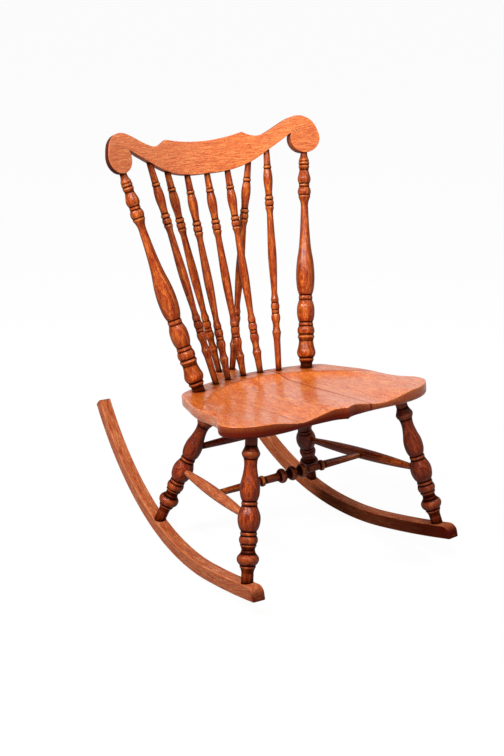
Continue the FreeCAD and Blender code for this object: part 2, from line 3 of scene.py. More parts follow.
import bmesh
import bpy
import numpy as np
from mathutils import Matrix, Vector


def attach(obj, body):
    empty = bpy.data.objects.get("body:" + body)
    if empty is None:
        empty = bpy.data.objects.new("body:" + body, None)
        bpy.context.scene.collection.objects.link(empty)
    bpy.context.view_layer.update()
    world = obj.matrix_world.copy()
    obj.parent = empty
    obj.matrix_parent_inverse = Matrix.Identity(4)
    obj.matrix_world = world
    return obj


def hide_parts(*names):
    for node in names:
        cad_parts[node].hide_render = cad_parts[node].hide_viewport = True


# An armless sewing rocker of golden oak. The sections follow the chair as it is put together. Lengths are
# in millimetres until a mesh is made, with X to the right as seen from the front, Y to the back and Z up.
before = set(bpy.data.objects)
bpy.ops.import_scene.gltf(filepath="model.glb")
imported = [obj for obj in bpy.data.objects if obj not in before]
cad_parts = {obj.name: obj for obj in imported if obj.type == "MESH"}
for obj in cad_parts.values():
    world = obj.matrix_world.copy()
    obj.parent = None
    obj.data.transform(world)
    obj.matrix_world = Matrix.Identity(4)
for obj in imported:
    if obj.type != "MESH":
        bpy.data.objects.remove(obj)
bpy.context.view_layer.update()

# Camera
# It stands in front of the chair to its left and a little above it, where the photograph was taken. The
# camera and the lamps are placed in metres.
camera_place = (-1.3445, -2.0534, 1.2090)
camera_azimuth = math.radians(-33.10)
camera_elevation = math.radians(19.80)
focal_pixels = 1300
image_height = 756
camera = bpy.data.objects.new("camera", bpy.data.cameras.new("camera"))
bpy.context.scene.collection.objects.link(camera)
camera.location = camera_place
view_back = Vector((
    math.sin(camera_azimuth) * math.cos(camera_elevation),
    -math.cos(camera_azimuth) * math.cos(camera_elevation),
    math.sin(camera_elevation),
))
camera.rotation_mode = "QUATERNION"
camera.rotation_quaternion = (-view_back).to_track_quat("-Z", "Y")
camera.data.lens = camera.data.sensor_width * focal_pixels / image_height
bpy.context.scene.camera = camera

# Rockers
# Two oak boards sawn to a curve of three arcs run together, the front one nearly straight, worn dull where
# they are handled. They toe in towards the back, and their upper corners are rounded at both ends.
metres = 0.001
set_down = 316.377
rocker_radii = (2250.0, 628.0, 534.0)
rocker_breaks = (-11.2, 2.0)
rocker_ends = (-16.3, 49.9)
rocker_depth = 27.0
rocker_width = 25.0
rocker_low_setback = 269.9
rocker_end_rounds = (17.0, 6.0)
rocker_edge_round = 2.2
rocker_end_dirt = 0.6
rocker_end_dirt_run = 5.0
# Painted shade on the rockers' left-facing sides, fading towards the back: weak on the left rocker and strong
# on the right one, which lies in the seat's shadow. The tops take a share of it.
rocker_painted_shades = (0.22, 0.85)
rocker_top_shade_share = 0.4
rocker_painted_shade_run = 620.0
rocker_worn = 0.55
rocker_pith = (31.0, 70.0)
rocker_log_step = 400.0
rocker_rows = 360
rocker_crowding_share = 0.9
corner_steps = 7
seat_depth = 376.0
front_foot_half_span = 222.5
back_foot_half_span = 189.9
back_foot_share = 1.0066
back_foot_setback = back_foot_share * seat_depth
toe_in = math.atan2(front_foot_half_span - back_foot_half_span, back_foot_setback)

# The wood's figure. The log wanders over about 110 mm across and 290 mm along. Pores and streaks are drawn a
# few times coarser than oak's own, or the render would not show them: a pore is about 2 mm wide and 22 mm
# long. A patch of darker shellac is about 33 mm wide and 200 mm long.
wander_per_metre = (9.0, 9.0, 3.5)
ring_wander = (0.02, 0.02, 0.0)
streak_wander = (0.003, 0.003, 0.0)
streak_stretch = 40
streak_roughness = 0.62
wave_turns = 20
pores_per_metre = (420.0, 420.0, 45.0)
pore_band = (0.50, 0.62)
patches_per_metre = (30.0, 30.0, 5.0)
patch_band = (0.35, 0.70)
worn_band = (-0.2, -1.0)
worn_most = 0.6
dirt_and_shade_band = (0.06, 0.85)
dirt_roughness = 0.35
gloss_band = (0.3, 0.7)
gloss_spread = (-0.05, 0.08)
shellac_index = 1.5
coat_roughness = 0.12
slant_shade_power = 0.75
rim_dulling = 1.6
gleam_lost_share = 0.95
relief_share = 0.25
relief_height = 0.0003


def linear(code):
    """The linear colour of an sRGB hex code by the standard's own curve, opaque."""
    shares = [int(code[i:i + 2], 16) / 255 for i in (1, 3, 5)]
    return [s / 12.92 if s <= 0.04045 else ((s + 0.055) / 1.055) ** 2.4 for s in shares] + [1.0]


def add_node(tree, kind, links=None, **settings):
    """Adds a node. Settings are its properties or, as numbers or names with a leading socket_, its inputs."""
    node = tree.nodes.new(kind)
    for name, value in settings.items():
        if name.startswith("socket_"):
            key = name[len("socket_"):]
            node.inputs[int(key) if key.isdigit() else key.replace("_", " ")].default_value = value
        else:
            setattr(node, name, value)
    for key, source in (links or {}).items():
        tree.links.new(source, node.inputs[key])
    return node


def oak(name, wood, blotch, pore, grime_and_shade_colour, lift, ring, streak, rough, shine, coat, ring_share, pore_share, rim):
    """Golden oak under old shellac, sawn from a solid log: the piece's own grain coordinates, in metres with
    Z along the grain, run through growth rings round a far pith, streaks, and dashes for the open pores. Ring
    and streak are widths in millimetres, and wood gives the tones from the dark ones to the pale."""
    material = bpy.data.materials.new(name)
    material.use_nodes = True
    tree = material.node_tree
    tree.nodes.clear()
    grain = add_node(tree, "ShaderNodeAttribute", attribute_name="grain").outputs["Vector"]
    dirt_wear_and_shade = add_node(tree, "ShaderNodeAttribute", attribute_name="dirt_wear_and_shade").outputs["Fac"]

    # The log wanders a few millimetres over a hand's length, so that the rings are never straight.
    wander = add_node(tree, "ShaderNodeMapping", {"Vector": grain}, socket_Scale=wander_per_metre)
    wander = add_node(tree, "ShaderNodeTexNoise", {"Vector": wander.outputs[0]}, socket_Detail=2.0)
    wander = add_node(tree, "ShaderNodeVectorMath", {0: wander.outputs["Color"]}, operation="SUBTRACT",
                      socket_1=(0.5, 0.5, 0.5))
    bent = add_node(tree, "ShaderNodeVectorMath", {0: wander.outputs[0], 2: grain}, operation="MULTIPLY_ADD",
                    socket_1=ring_wander)
    rings = add_node(tree, "ShaderNodeTexWave", {"Vector": bent.outputs[0]}, wave_type="RINGS",
                     rings_direction="Z", wave_profile="SAW",
                     socket_Scale=2 * math.pi / (wave_turns * ring * metres))

    # Streaks and pores follow the grain and wander less than the rings.
    fine = 1 / (streak * metres)
    straight = add_node(tree, "ShaderNodeVectorMath", {0: wander.outputs[0], 2: grain},
                        operation="MULTIPLY_ADD", socket_1=streak_wander)
    streaks = add_node(tree, "ShaderNodeMapping", {"Vector": straight.outputs[0]},
                       socket_Scale=(fine, fine, fine / streak_stretch))
    streaks = add_node(tree, "ShaderNodeTexNoise", {"Vector": streaks.outputs[0]}, socket_Detail=4.0,
                       socket_Roughness=streak_roughness)
    pores = add_node(tree, "ShaderNodeMapping", {"Vector": straight.outputs[0]}, socket_Scale=pores_per_metre)
    pores = add_node(tree, "ShaderNodeTexNoise", {"Vector": pores.outputs[0]}, socket_Detail=1.0)
    pores = add_node(tree, "ShaderNodeMapRange", {"Value": pores.outputs["Fac"]}, socket_1=pore_band[0],
                     socket_2=pore_band[1])
    patches = add_node(tree, "ShaderNodeMapping", {"Vector": grain}, socket_Scale=patches_per_metre)
    patches = add_node(tree, "ShaderNodeTexNoise", {"Vector": patches.outputs[0]}, socket_Detail=3.0)

    # Rings and streaks give the wood its tone, then come the patches where the shellac has darkened.
    tone = add_node(tree, "ShaderNodeMix", {2: streaks.outputs["Fac"], 3: rings.outputs["Fac"]},
                    socket_0=ring_share)
    tone = add_node(tree, "ShaderNodeValToRGB", {"Fac": tone.outputs[0]})
    tone.color_ramp.elements.new(0.5)
    for element, (at, code) in zip(tone.color_ramp.elements, wood):
        element.position = at
        element.color = linear(code)
    share = add_node(tree, "ShaderNodeMapRange", {"Value": patches.outputs["Fac"]}, socket_1=patch_band[0],
                     socket_2=patch_band[1])
    colour = add_node(tree, "ShaderNodeMix", {0: share.outputs[0], 6: tone.outputs["Color"]},
                      data_type="RGBA", blend_type="MULTIPLY", socket_7=linear(blotch)).outputs[2]
    share = add_node(tree, "ShaderNodeMath", {0: pores.outputs[0]}, operation="MULTIPLY", socket_1=pore_share)
    colour = add_node(tree, "ShaderNodeMix", {0: share.outputs[0], 6: colour}, data_type="RGBA",
                      socket_7=linear(pore)).outputs[2]

    # Tops of beads and edges are rubbed lighter, and hollows hold dirt and thick shellac. The same values
    # also
    #     # carry painted shade where pieces meet and on the rockers' sides, and painted light on the seat's
    #     right edge.
    worn = add_node(tree, "ShaderNodeMapRange", {"Value": dirt_wear_and_shade}, socket_1=worn_band[0],
                    socket_2=worn_band[1], socket_3=0.0, socket_4=worn_most)
    colour = add_node(tree, "ShaderNodeMix", {0: worn.outputs[0], 6: colour}, data_type="RGBA",
                      socket_7=linear(lift)).outputs[2]
    dirt = add_node(tree, "ShaderNodeMapRange", {"Value": dirt_wear_and_shade}, socket_1=dirt_and_shade_band[0],
                    socket_2=dirt_and_shade_band[1])
    colour = add_node(tree, "ShaderNodeMix", {0: dirt.outputs[0], 6: colour}, data_type="RGBA",
                      socket_7=linear(grime_and_shade_colour)).outputs[2]

    # Round pieces go dark towards their outline: partly the amber shellac, which is thick when seen at a
    # slant,
    #     # partly painted shade.
    slant_shade = add_node(tree, "ShaderNodeLayerWeight", socket_Blend=0.5)
    slant_shade = add_node(tree, "ShaderNodeMath", {0: slant_shade.outputs["Facing"]}, operation="POWER",
                     socket_1=slant_shade_power)
    share = add_node(tree, "ShaderNodeMath", {0: slant_shade.outputs[0]}, operation="MULTIPLY", socket_1=rim)
    colour = add_node(tree, "ShaderNodeMix", {0: share.outputs[0], 6: colour}, data_type="RGBA",
                      socket_7=linear(pore)).outputs[2]

    # Patches vary the gloss a little. Dirt is matt, and dirt and rims give no white reflection.
    matt = add_node(tree, "ShaderNodeMapRange", {"Value": patches.outputs["Fac"]}, socket_1=gloss_band[0],
                    socket_2=gloss_band[1], socket_3=rough + gloss_spread[0],
                    socket_4=rough + gloss_spread[1])
    matt = add_node(tree, "ShaderNodeMath", {0: dirt.outputs[0], 2: matt.outputs[0]},
                    operation="MULTIPLY_ADD", socket_1=dirt_roughness)
    dull = add_node(tree, "ShaderNodeMath", {0: share.outputs[0], 2: dirt.outputs[0]},
                    operation="MULTIPLY_ADD", socket_1=rim_dulling, use_clamp=True)
    gleam = add_node(tree, "ShaderNodeMath", {0: dull.outputs[0]}, operation="MULTIPLY_ADD",
                     socket_1=-gleam_lost_share * shine, socket_2=shine)
    height = add_node(tree, "ShaderNodeMath", {0: streaks.outputs["Fac"], 1: pores.outputs[0]},
                      operation="SUBTRACT")
    bump = add_node(tree, "ShaderNodeBump", {"Height": height.outputs[0]}, socket_Strength=relief_share,
                    socket_Distance=relief_height)
    shader = add_node(tree, "ShaderNodeBsdfPrincipled", {
        "Base Color": colour, "Roughness": matt.outputs[0], "Specular IOR Level": gleam.outputs[0],
        "Normal": bump.outputs[0],
    }, socket_IOR=shellac_index, socket_Coat_Weight=coat, socket_Coat_Roughness=coat_roughness)
    add_node(tree, "ShaderNodeOutputMaterial", {"Surface": shader.outputs[0]})
    return material


def finish_piece(name, verts, faces, grain, dirt_wear_and_shade, material, nodes):
    """Makes the mesh of a piece from arrays, with its grain coordinates and its values for dirt, wear and
    painted shade, and dresses it.
    """
    mesh = bpy.data.meshes.new(name)
    mesh.from_pydata((verts * metres).tolist(), [], faces)
    attribute = mesh.attributes.new("grain", "FLOAT_VECTOR", "POINT")
    attribute.data.foreach_set("vector", (grain * metres).astype(np.float32).ravel())
    attribute = mesh.attributes.new("dirt_wear_and_shade", "FLOAT", "POINT")
    attribute.data.foreach_set("value", dirt_wear_and_shade.astype(np.float32).ravel())
    mesh.validate()
    mesh.shade_smooth()
    piece = bpy.data.objects.new(name, mesh)
    bpy.context.scene.collection.objects.link(piece)
    mesh.materials.append(material)
    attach(piece, "root")
    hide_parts(*nodes)


def grid_faces(rows, columns):
    """The four-sided faces of a grid of points that closes round its columns."""
    row, column = np.meshgrid(np.arange(rows - 1), np.arange(columns), indexing="ij")
    after = (column + 1) % columns
    quads = np.stack([row * columns + column, row * columns + after,
                      (row + 1) * columns + after, (row + 1) * columns + column], axis=-1)
    return quads.reshape(-1, 4).tolist()


def tube_faces(rows, columns):
    """Faces of such a grid with a point at each end: the first is number rows * columns and the last comes
    after it."""
    around = np.arange(columns)
    after = (around + 1) % columns
    first = np.stack([after, around, np.full(columns, rows * columns)], axis=-1)
    last = (rows - 1) * columns
    second = np.stack([last + around, last + after, np.full(columns, rows * columns + 1)], axis=-1)
    return grid_faces(rows, columns) + first.tolist() + second.tolist()


def rocker_edge(angle, rise):
    """The point over the lower edge, by rise, where the edge slopes by an angle: three arcs run together,
    each giving its radius times the change of the slope's sine along, and of its cosine up."""
    slope = np.radians(angle)
    breaks = np.radians(rocker_breaks)
    front = np.minimum(slope, breaks[0])
    middle = np.clip(slope, breaks[0], breaks[1])
    back = np.maximum(slope, breaks[1])
    along = rocker_radii[1] * np.sin(middle)
    along = along + rocker_radii[0] * (np.sin(front) - np.sin(breaks[0]))
    along = along + rocker_radii[2] * (np.sin(back) - np.sin(breaks[1]))
    height = rocker_radii[1] * (1 - np.cos(middle))
    height = height + rocker_radii[0] * (np.cos(breaks[0]) - np.cos(front))
    height = height + rocker_radii[2] * (np.cos(breaks[1]) - np.cos(back))
    return rocker_low_setback + along - rise * np.sin(slope), height + rise * np.cos(slope)


def rocker_place(across, along, height):
    """A point of the right rocker's own plane, turned by the toe-in and set down with the chair."""
    x = front_foot_half_span + across * np.cos(toe_in) - along * np.sin(toe_in)
    y = across * np.sin(toe_in) + along * np.cos(toe_in) - set_down
    return np.stack([x, y, height + 0 * x], axis=-1)


def end_drop(distance, radius):
    """How far a quarter round of this radius has fallen at a distance from its end."""
    short = np.clip(radius - distance, 0, radius)
    return radius - np.sqrt(radius ** 2 - short ** 2)


def make_rocker(side, name):
    """A rounded oblong section carried along the three arcs, drawn in at both ends by their rounds. A sine
    crowds its rows towards the ends. Its corners are worn pale and its ends are dirty. Painted shade darkens
    the sides that face left towards the front, less on the top, most on the right rocker, which lies in the
    seat's shadow."""
    step = np.linspace(0, 1, rocker_rows)
    step = step - rocker_crowding_share * np.sin(2 * np.pi * step) / (2 * np.pi)
    angle = rocker_ends[0] + (rocker_ends[1] - rocker_ends[0]) * step
    along, height = rocker_edge(angle, 0)
    run = np.concatenate([[0], np.cumsum(np.hypot(np.diff(along), np.diff(height)))])
    to_end = np.minimum(run, run[-1] - run)
    ease = end_drop(to_end, rocker_edge_round)
    front_drop = end_drop(run, rocker_end_rounds[0])
    top = rocker_depth - np.maximum(front_drop, end_drop(run[-1] - run, rocker_end_rounds[1]))
    corner = np.radians(np.linspace(0, 90, corner_steps))
    turns = np.concatenate([corner + quarter * np.pi / 2 for quarter in range(4)])
    signs = np.repeat(np.array([[1, 1], [-1, 1], [-1, -1], [1, -1]]), len(corner), axis=0)
    half = rocker_width / 2 - ease
    low = ease
    high = np.maximum(top - ease, low + 2 * rocker_edge_round)
    middle = (low + high) / 2
    tall = (high - low) / 2
    across = signs[:, 0] * (half[:, None] - rocker_edge_round) + rocker_edge_round * np.cos(turns)
    rise = middle[:, None] + signs[:, 1] * (tall[:, None] - rocker_edge_round)
    rise = rise + rocker_edge_round * np.sin(turns)
    at, up = rocker_edge(angle[:, None] + 0 * rise, rise)
    verts = rocker_place(across, at, up).reshape(-1, 3)
    ends = []
    for index in (0, -1):
        at, up = rocker_edge(angle[index], middle[index])
        ends.append(rocker_place(np.zeros(1), np.array([at]), np.array([up]))[0])
    verts = np.concatenate([verts, np.array(ends)])
    grain = np.stack([across + rocker_pith[0] * side, rise - rocker_pith[1],
                      run[:, None] + 0 * rise + rocker_log_step * side], axis=-1).reshape(-1, 3)
    grain = np.concatenate([grain, grain[[0, -1]]])
    worn = -rocker_worn * np.sqrt(np.abs(np.sin(2 * turns)))
    dirt_wear_and_shade = worn + (rocker_end_dirt - worn) * np.exp(-to_end / rocker_end_dirt_run)[:, None]
    # Painted shade: the sides that face left are darkened towards the front, most on the right rocker in the
    # seat's shadow, less on the tops.
    facing = np.clip(-side * np.cos(turns), 0, 1)
    painted_shade = rocker_painted_shades[side > 0] * (rocker_top_shade_share + (1 - rocker_top_shade_share) * facing)
    dirt_wear_and_shade += painted_shade * np.clip(1 - run / rocker_painted_shade_run, 0, 1)[:, None]
    dirt_wear_and_shade = np.concatenate([dirt_wear_and_shade.ravel(), [rocker_end_dirt, rocker_end_dirt]])
    faces = tube_faces(rocker_rows, len(turns))
    if side < 0:
        verts[:, 0] *= -1
    else:
        faces = [face[::-1] for face in faces]
    finish_piece("dressed_" + name, verts, faces, grain, dirt_wear_and_shade, rocker_oak, [name])


# Dull, with most of its shellac rubbed off, so it shows the pale wood between brown pores.
rocker_oak = oak(
    "sawn_golden_oak_dull_shellac",
    wood=[(0.40, "#8E4224"), (0.50, "#B26038"), (0.62, "#D08858")],
    blotch="#E0BCA8", pore="#541E0C", grime_and_shade_colour="#48100A", lift="#D88A62",
    ring=5.0, streak=2.6, rough=0.5, shine=0.06, coat=0.0, ring_share=0.10, pore_share=0.55, rim=0.0,
)
for side, name in ((-1, "rocker_left"), (1, "rocker_right")):
    make_rocker(side, name)

# Legs
# Four oak legs turned to one pattern, with a ball where the stretchers go in, their feet fitted to the
# rockers and their tops in blind holes in the seat. Old shellac lies thick and dark in the grooves.
seat_front_height = 364.4
seat_tilt = math.radians(7.4)
seat_width = 458.0
leg_front_shares = (0.7144, 0.1992)
leg_back_shares = (0.3965, 0.8005)
leg_neck_length = 33.9
leg_back_lift = 5.5
leg_ball = 41.8
leg_cover = 13.0
leg_shares = [
    [(0.000, 0.540), (0.070, 0.536)],
    [(0.092, 0.600), (0.109, 0.713)],
    [(0.120, 0.680)],
    [(0.144, 0.920), (0.163, 0.971), (0.182, 0.910), (0.205, 0.680), (0.226, 0.590)],
    [(0.243, 0.630), (0.256, 0.727)],
    [(0.266, 0.690)],
    [(0.294, 0.825), (0.325, 0.690)],
    [(0.338, 0.740), (0.352, 0.670)],
    [(0.372, 0.820), (0.405, 0.955), (0.442, 1.000), (0.478, 0.930), (0.504, 0.806), (0.532, 0.667)],
    [(0.545, 0.720), (0.559, 0.650)],
    [(0.573, 0.730), (0.600, 0.833), (0.642, 0.876), (0.690, 0.823), (0.725, 0.713),
     (0.759, 0.629), (0.811, 0.565), (0.849, 0.612)],
    [(0.862, 0.700), (0.886, 0.806), (0.910, 0.700), (0.938, 0.548)],
    [(1.000, 0.548)],
]
leg_ball_share = 0.442
leg_bulge_share = 0.642
leg_grime_and_shade_run = 13.0
leg_seed_step = 10
foot_fit_length = 17.0
foot_search_steps = 4001
turned_step = 0.9
straight_limit = 1e-6
least_radius = 0.5
rod_columns = 40
thick_columns = 56
pith_low = (22, 10, 0)
pith_high = (60, 40, 2000)
dip_step = 0.25
dip_points = 40
dip_spread = 2.0
dip_full = 0.5
steep_slope = 0.4
steep_dirt = 0.3
groove_dirt = 1.7
grime_and_shade_share = 0.9


def on_seat(across, along, rise=0.0):
    """A point of the seat's own frame, whose top plane is tilted down to the back."""
    y = along * np.cos(seat_tilt) + rise * np.sin(seat_tilt) - set_down
    z = seat_front_height - along * np.sin(seat_tilt) + rise * np.cos(seat_tilt)
    return np.stack([across + 0 * y, y + 0 * across, z + 0 * across], axis=-1)


def seat_place(share, side=1):
    """A point of the seat's top plane by its shares of the half width and of the depth."""
    return on_seat(side * share[0] * seat_width / 2, share[1] * seat_depth)


def smooth_curve(points, count):
    """The natural cubic curve through points, spaced by the straight distances between them."""
    points = np.asarray(points, float)
    knots = np.concatenate([[0], np.cumsum(np.linalg.norm(np.diff(points, axis=0), axis=1))])
    gaps = np.diff(knots)
    size = len(points)
    system = np.eye(size)
    slopes = np.diff(points, axis=0) / gaps[:, None]
    known = np.zeros_like(points)
    inner = np.arange(1, size - 1)
    system[inner, inner - 1] = gaps[:-1]
    system[inner, inner] = 2 * (gaps[:-1] + gaps[1:])
    system[inner, inner + 1] = gaps[1:]
    known[1:-1] = 6 * np.diff(slopes, axis=0)
    bends = np.linalg.solve(system, known)
    at = np.linspace(0, knots[-1], count)
    piece = np.clip(np.searchsorted(knots, at, side="right") - 1, 0, size - 2)
    gap = gaps[piece][:, None]
    after = (at - knots[piece])[:, None]
    before = gap - after
    return (bends[piece] * before ** 3 + bends[piece + 1] * after ** 3) / (6 * gap) + \
        (points[piece] / gap - bends[piece] * gap / 6) * before + \
        (points[piece + 1] / gap - bends[piece + 1] * gap / 6) * after


def arc_curve(points, count):
    """The circle through three points, as its centre and a radius that turns from the first to the last."""
    a, b, c = [complex(*point) for point in points]
    ratio = (c - a) / (b - a)
    if abs(ratio.imag) < straight_limit:
        at = np.linspace(0, 1, count)[:, None]
        return np.asarray(points[0]) * (1 - at) + np.asarray(points[2]) * at
    centre = a + (b - a) * (ratio - abs(ratio) ** 2) / (2j * ratio.imag)
    first = np.angle(a - centre)
    sweep = np.angle((c - centre) / (a - centre))
    turn = np.angle((b - centre) / (a - centre))
    if sweep * turn < 0 or abs(turn) > abs(sweep):
        sweep -= np.sign(sweep) * 2 * np.pi
    path = centre + abs(a - centre) * np.exp(1j * (first + sweep * np.linspace(0, 1, count)))
    return np.stack([path.real, path.imag], axis=-1)


def drawn(points, step):
    """A stretch of an outline: straight through two points, a circle through three, smooth through more."""
    points = np.asarray(points, float)
    length = np.linalg.norm(np.diff(points, axis=0), axis=1).sum()
    count = max(int(np.ceil(length / step)), 3) + 1
    if len(points) == 2:
        return points[0] + (points[1] - points[0]) * np.linspace(0, 1, count)[:, None]
    if len(points) == 3:
        return arc_curve(points, count)
    return smooth_curve(points, count)


def marks(table, length, largest, first=0.0):
    """A table of shares made into distances along the axis and radii, where each stretch goes on from the
    last point of the one before."""
    stretches = []
    start = []
    for stretch in table:
        stretches.append(start + [(first + at * length, wide * largest / 2) for at, wide in stretch])
        start = [stretches[-1][-1]]
    return stretches


def make_turned(node, foot, head, stretches, seed, material, step=turned_step, columns=rod_columns,
                foot_normal=None, dark=()):
    """A turned piece: a ring of the outline's radius round each point of its axis. Its dirt and wear follow
    where the radius falls short of its own average over a few millimetres and where the outline is steep. The
    dark places, given as the middle of each and the run over which it fades, add dirt and painted shade where
    the piece meets another."""
    parts = [drawn(stretch, step) for stretch in stretches]
    line = np.concatenate([parts[0]] + [part[1:] for part in parts[1:]])
    at, radius = line[:, 0], np.maximum(line[:, 1], least_radius)
    foot, head = np.asarray(foot, float), np.asarray(head, float)
    axis = (head - foot) / np.linalg.norm(head - foot)
    side = np.cross(axis, (0.0, 1.0, 0.0))
    side /= np.linalg.norm(side)
    front = np.cross(axis, side)
    turn = np.linspace(0, 2 * np.pi, columns, endpoint=False)
    spoke = np.cos(turn)[:, None] * side + np.sin(turn)[:, None] * front
    place = at[:, None] + 0 * turn
    if foot_normal is not None:
        lean = -radius[0] * (spoke @ foot_normal) / (axis @ foot_normal)
        place = place + lean * np.clip(1 - at / foot_fit_length, 0, 1)[:, None]
    verts = foot + place[..., None] * axis + radius[:, None, None] * spoke
    ends = np.array([foot + at[0] * axis, foot + at[-1] * axis])
    verts = np.concatenate([verts.reshape(-1, 3), ends])
    pith = np.random.default_rng(seed).uniform(pith_low, pith_high)
    grain = np.stack([radius[:, None] * np.cos(turn) + pith[0], radius[:, None] * np.sin(turn) + pith[1],
                      place + pith[2]], axis=-1).reshape(-1, 3)
    grain = np.concatenate([grain, grain[[0, -1]]])
    even = np.arange(at[0], at[-1], dip_step)
    level = np.interp(even, at, radius)
    window = np.exp(-0.5 * (np.arange(-dip_points, dip_points + 1) * dip_step / dip_spread) ** 2)
    average = np.convolve(np.pad(level, dip_points, mode="edge"), window / window.sum(), mode="valid")
    dip = np.interp(at, even, average - level) / dip_full
    slope = np.abs(np.interp(at, even, np.gradient(level, even)))
    dip = dip + steep_dirt * np.clip(slope - steep_slope, 0, 1)
    dip = np.where(dip > 0, groove_dirt, 1.0) * dip
    # Dirt and painted contact shade at the dark places.
    for middle, run in dark:
        dip = dip + grime_and_shade_share * np.exp(-np.abs(at - middle) / run)
    dirt_wear_and_shade = np.concatenate([np.repeat(np.clip(dip, -1, 1), columns), [0, 0]])
    faces = tube_faces(len(at), columns)
    finish_piece("dressed_" + node, verts, faces, grain, dirt_wear_and_shade, material, [node])


def leg_line(share, along, side):
    """The foot and head of a leg's axis, from the top of the rocker to the seat, and the direction square
    to the rocker's top there."""
    angle = np.linspace(rocker_ends[0], rocker_ends[1], foot_search_steps)
    reach, height = rocker_edge(angle, rocker_depth)
    foot = rocker_place(np.zeros(1), np.array([along]), np.interp([along], reach, height))[0]
    slope = np.radians(np.interp(along, reach, angle))
    normal = np.array([np.sin(slope) * np.sin(toe_in), -np.sin(slope) * np.cos(toe_in), np.cos(slope)])
    head = seat_place(share)
    mirror = np.array([side, 1.0, 1.0])
    return foot * mirror, head * mirror, normal * mirror


# Deep and glossy where the shellac was brushed on thick, nearly black in the grooves.
leg_oak = oak(
    "turned_golden_oak_dark_shellac",
    wood=[(0.36, "#5C0E02"), (0.50, "#942A04"), (0.66, "#EC7620")],
    blotch="#A87050", pore="#320A01", grime_and_shade_colour="#0E0200", lift="#C0601C",
    ring=6.0, streak=2.0, rough=0.15, shine=0.20, coat=0.0, ring_share=0.10, pore_share=0.45, rim=0.85,
)
back_foot_along = back_foot_setback / math.cos(toe_in)
front_foot, front_head = leg_line(leg_front_shares, 0.0, 1)[:2]
leg_pattern = np.linalg.norm(front_head - front_foot) - leg_neck_length
leg_lines = {}
for end, share, along, lift, seed in (("front", leg_front_shares, 0.0, 0.0, 35),
                                      ("back", leg_back_shares, back_foot_along, leg_back_lift, 34)):
    for side, side_name in ((-1, "left"), (1, "right")):
        foot, head, normal = leg_line(share, along, side)
        node = "leg_%s_%s" % (end, side_name)
        length = np.linalg.norm(head - foot)
        axis = (head - foot) / length
        leg_lines[end, side] = foot + axis * lift, axis
        stretches = marks(leg_shares, leg_pattern, leg_ball, lift)
        if lift:
            stretches = [[(0.0, stretches[0][0][1]), stretches[0][0]]] + stretches
        stretches[-1][-1] = (length - leg_cover, stretches[-1][-1][1])
        # Both ends, on the rocker and under the seat, are darkened with dirt and painted shade.
        make_turned(node, foot, head, stretches, seed + leg_seed_step * side, leg_oak, columns=thick_columns,
                    foot_normal=normal, dark=((0.0, leg_grime_and_shade_run), (length - leg_cover, leg_grime_and_shade_run)))

# Stretchers
# Plain swelling rods between the legs, and a turned one with three discs between the side stretchers.
# The left side one is as dull as the rockers. The right side one and the centre one take the posts' brighter
# # oak, partly as painted light that makes up for the light the seat keeps off them. The rear one keeps the
# # legs' dark shellac.
stretcher_tenon_depth = 11.0
ball_gap = leg_ball / 2 - stretcher_tenon_depth
side_stretcher_middle = 22.5
side_stretcher_end = 11.5
centre_stretcher_share = 0.477
centre_stretcher_disc = 29.5
centre_disc_share = 0.142
centre_tenon_depth = 6.5
rear_stretcher_middle = 17.0
rear_stretcher_end = 12.5
rod_step = 2.0
rod_grime_and_shade_run = 3.0
disc_grime_run = 3.5
centre_grime_and_shade_run = 2.5
side_seed = 20
rear_seed = 24
centre_seed = 31
centre_shares = [
    [(0.040, 0.680), (0.071, 0.560), (0.102, 0.680)],
    [(0.142, 1.000), (0.182, 0.650)],
    [(0.216, 0.560), (0.250, 0.545)],
    [(0.381, 0.525)],
    [(0.397, 0.705)],
    [(0.411, 0.740), (0.426, 0.705)],
    [(0.443, 0.555)],
    [(1.000, 0.405)],
]


def leg_point(end, side, share):
    """The point of a leg's axis at a share of the turned pattern."""
    foot, axis = leg_lines[end, side]
    return foot + axis * share * leg_pattern


def make_plain(node, start, end, middle, tip, seed, material):
    """A rod that swells in one arc between two straight tenons."""
    axis = (end - start) / np.linalg.norm(end - start)
    start = start + axis * ball_gap
    end = end - axis * ball_gap
    length = np.linalg.norm(end - start)
    shoulder = length - stretcher_tenon_depth
    swell = [(stretcher_tenon_depth, tip / 2), (length / 2, middle / 2), (shoulder, tip / 2)]
    stretches = [[(0, tip / 2), swell[0]], swell, [swell[-1], (length, tip / 2)]]
    # The shoulders, where the rod goes into the legs, are darkened with dirt and painted shade.
    make_turned(node, start, end, stretches, seed, material, step=rod_step,
                dark=((stretcher_tenon_depth, rod_grime_and_shade_run), (shoulder, rod_grime_and_shade_run)))
    return start, end


# Glossy and a shade paler than the legs, with dark brown grooves.
post_oak = oak(
    "turned_golden_oak_bright_shellac",
    wood=[(0.38, "#802204"), (0.50, "#BE460A"), (0.64, "#FFA244")],
    blotch="#BC8460", pore="#441403", grime_and_shade_colour="#260801", lift="#E08840",
    ring=6.0, streak=2.2, rough=0.15, shine=0.22, coat=0.0, ring_share=0.10, pore_share=0.45, rim=0.85,
)
for side, side_name, material in ((-1, "left", rocker_oak), (1, "right", post_oak)):
    side_ends = make_plain("side_stretcher_" + side_name, leg_point("front", side, leg_ball_share),
                           leg_point("back", side, leg_ball_share), side_stretcher_middle, side_stretcher_end,
                           side_seed + side, material)
make_plain("rear_stretcher", leg_point("back", -1, leg_bulge_share), leg_point("back", 1, leg_bulge_share),
           rear_stretcher_middle, rear_stretcher_end, rear_seed, leg_oak)
crossing = side_ends[0] + (side_ends[1] - side_ends[0]) * centre_stretcher_share
centre_half = crossing[0] - side_stretcher_middle / 2 + centre_tenon_depth
half_marks = marks(centre_shares, centre_half, centre_stretcher_disc)
other_half = [[(-at, wide) for at, wide in reversed(stretch)] for stretch in reversed(half_marks)]
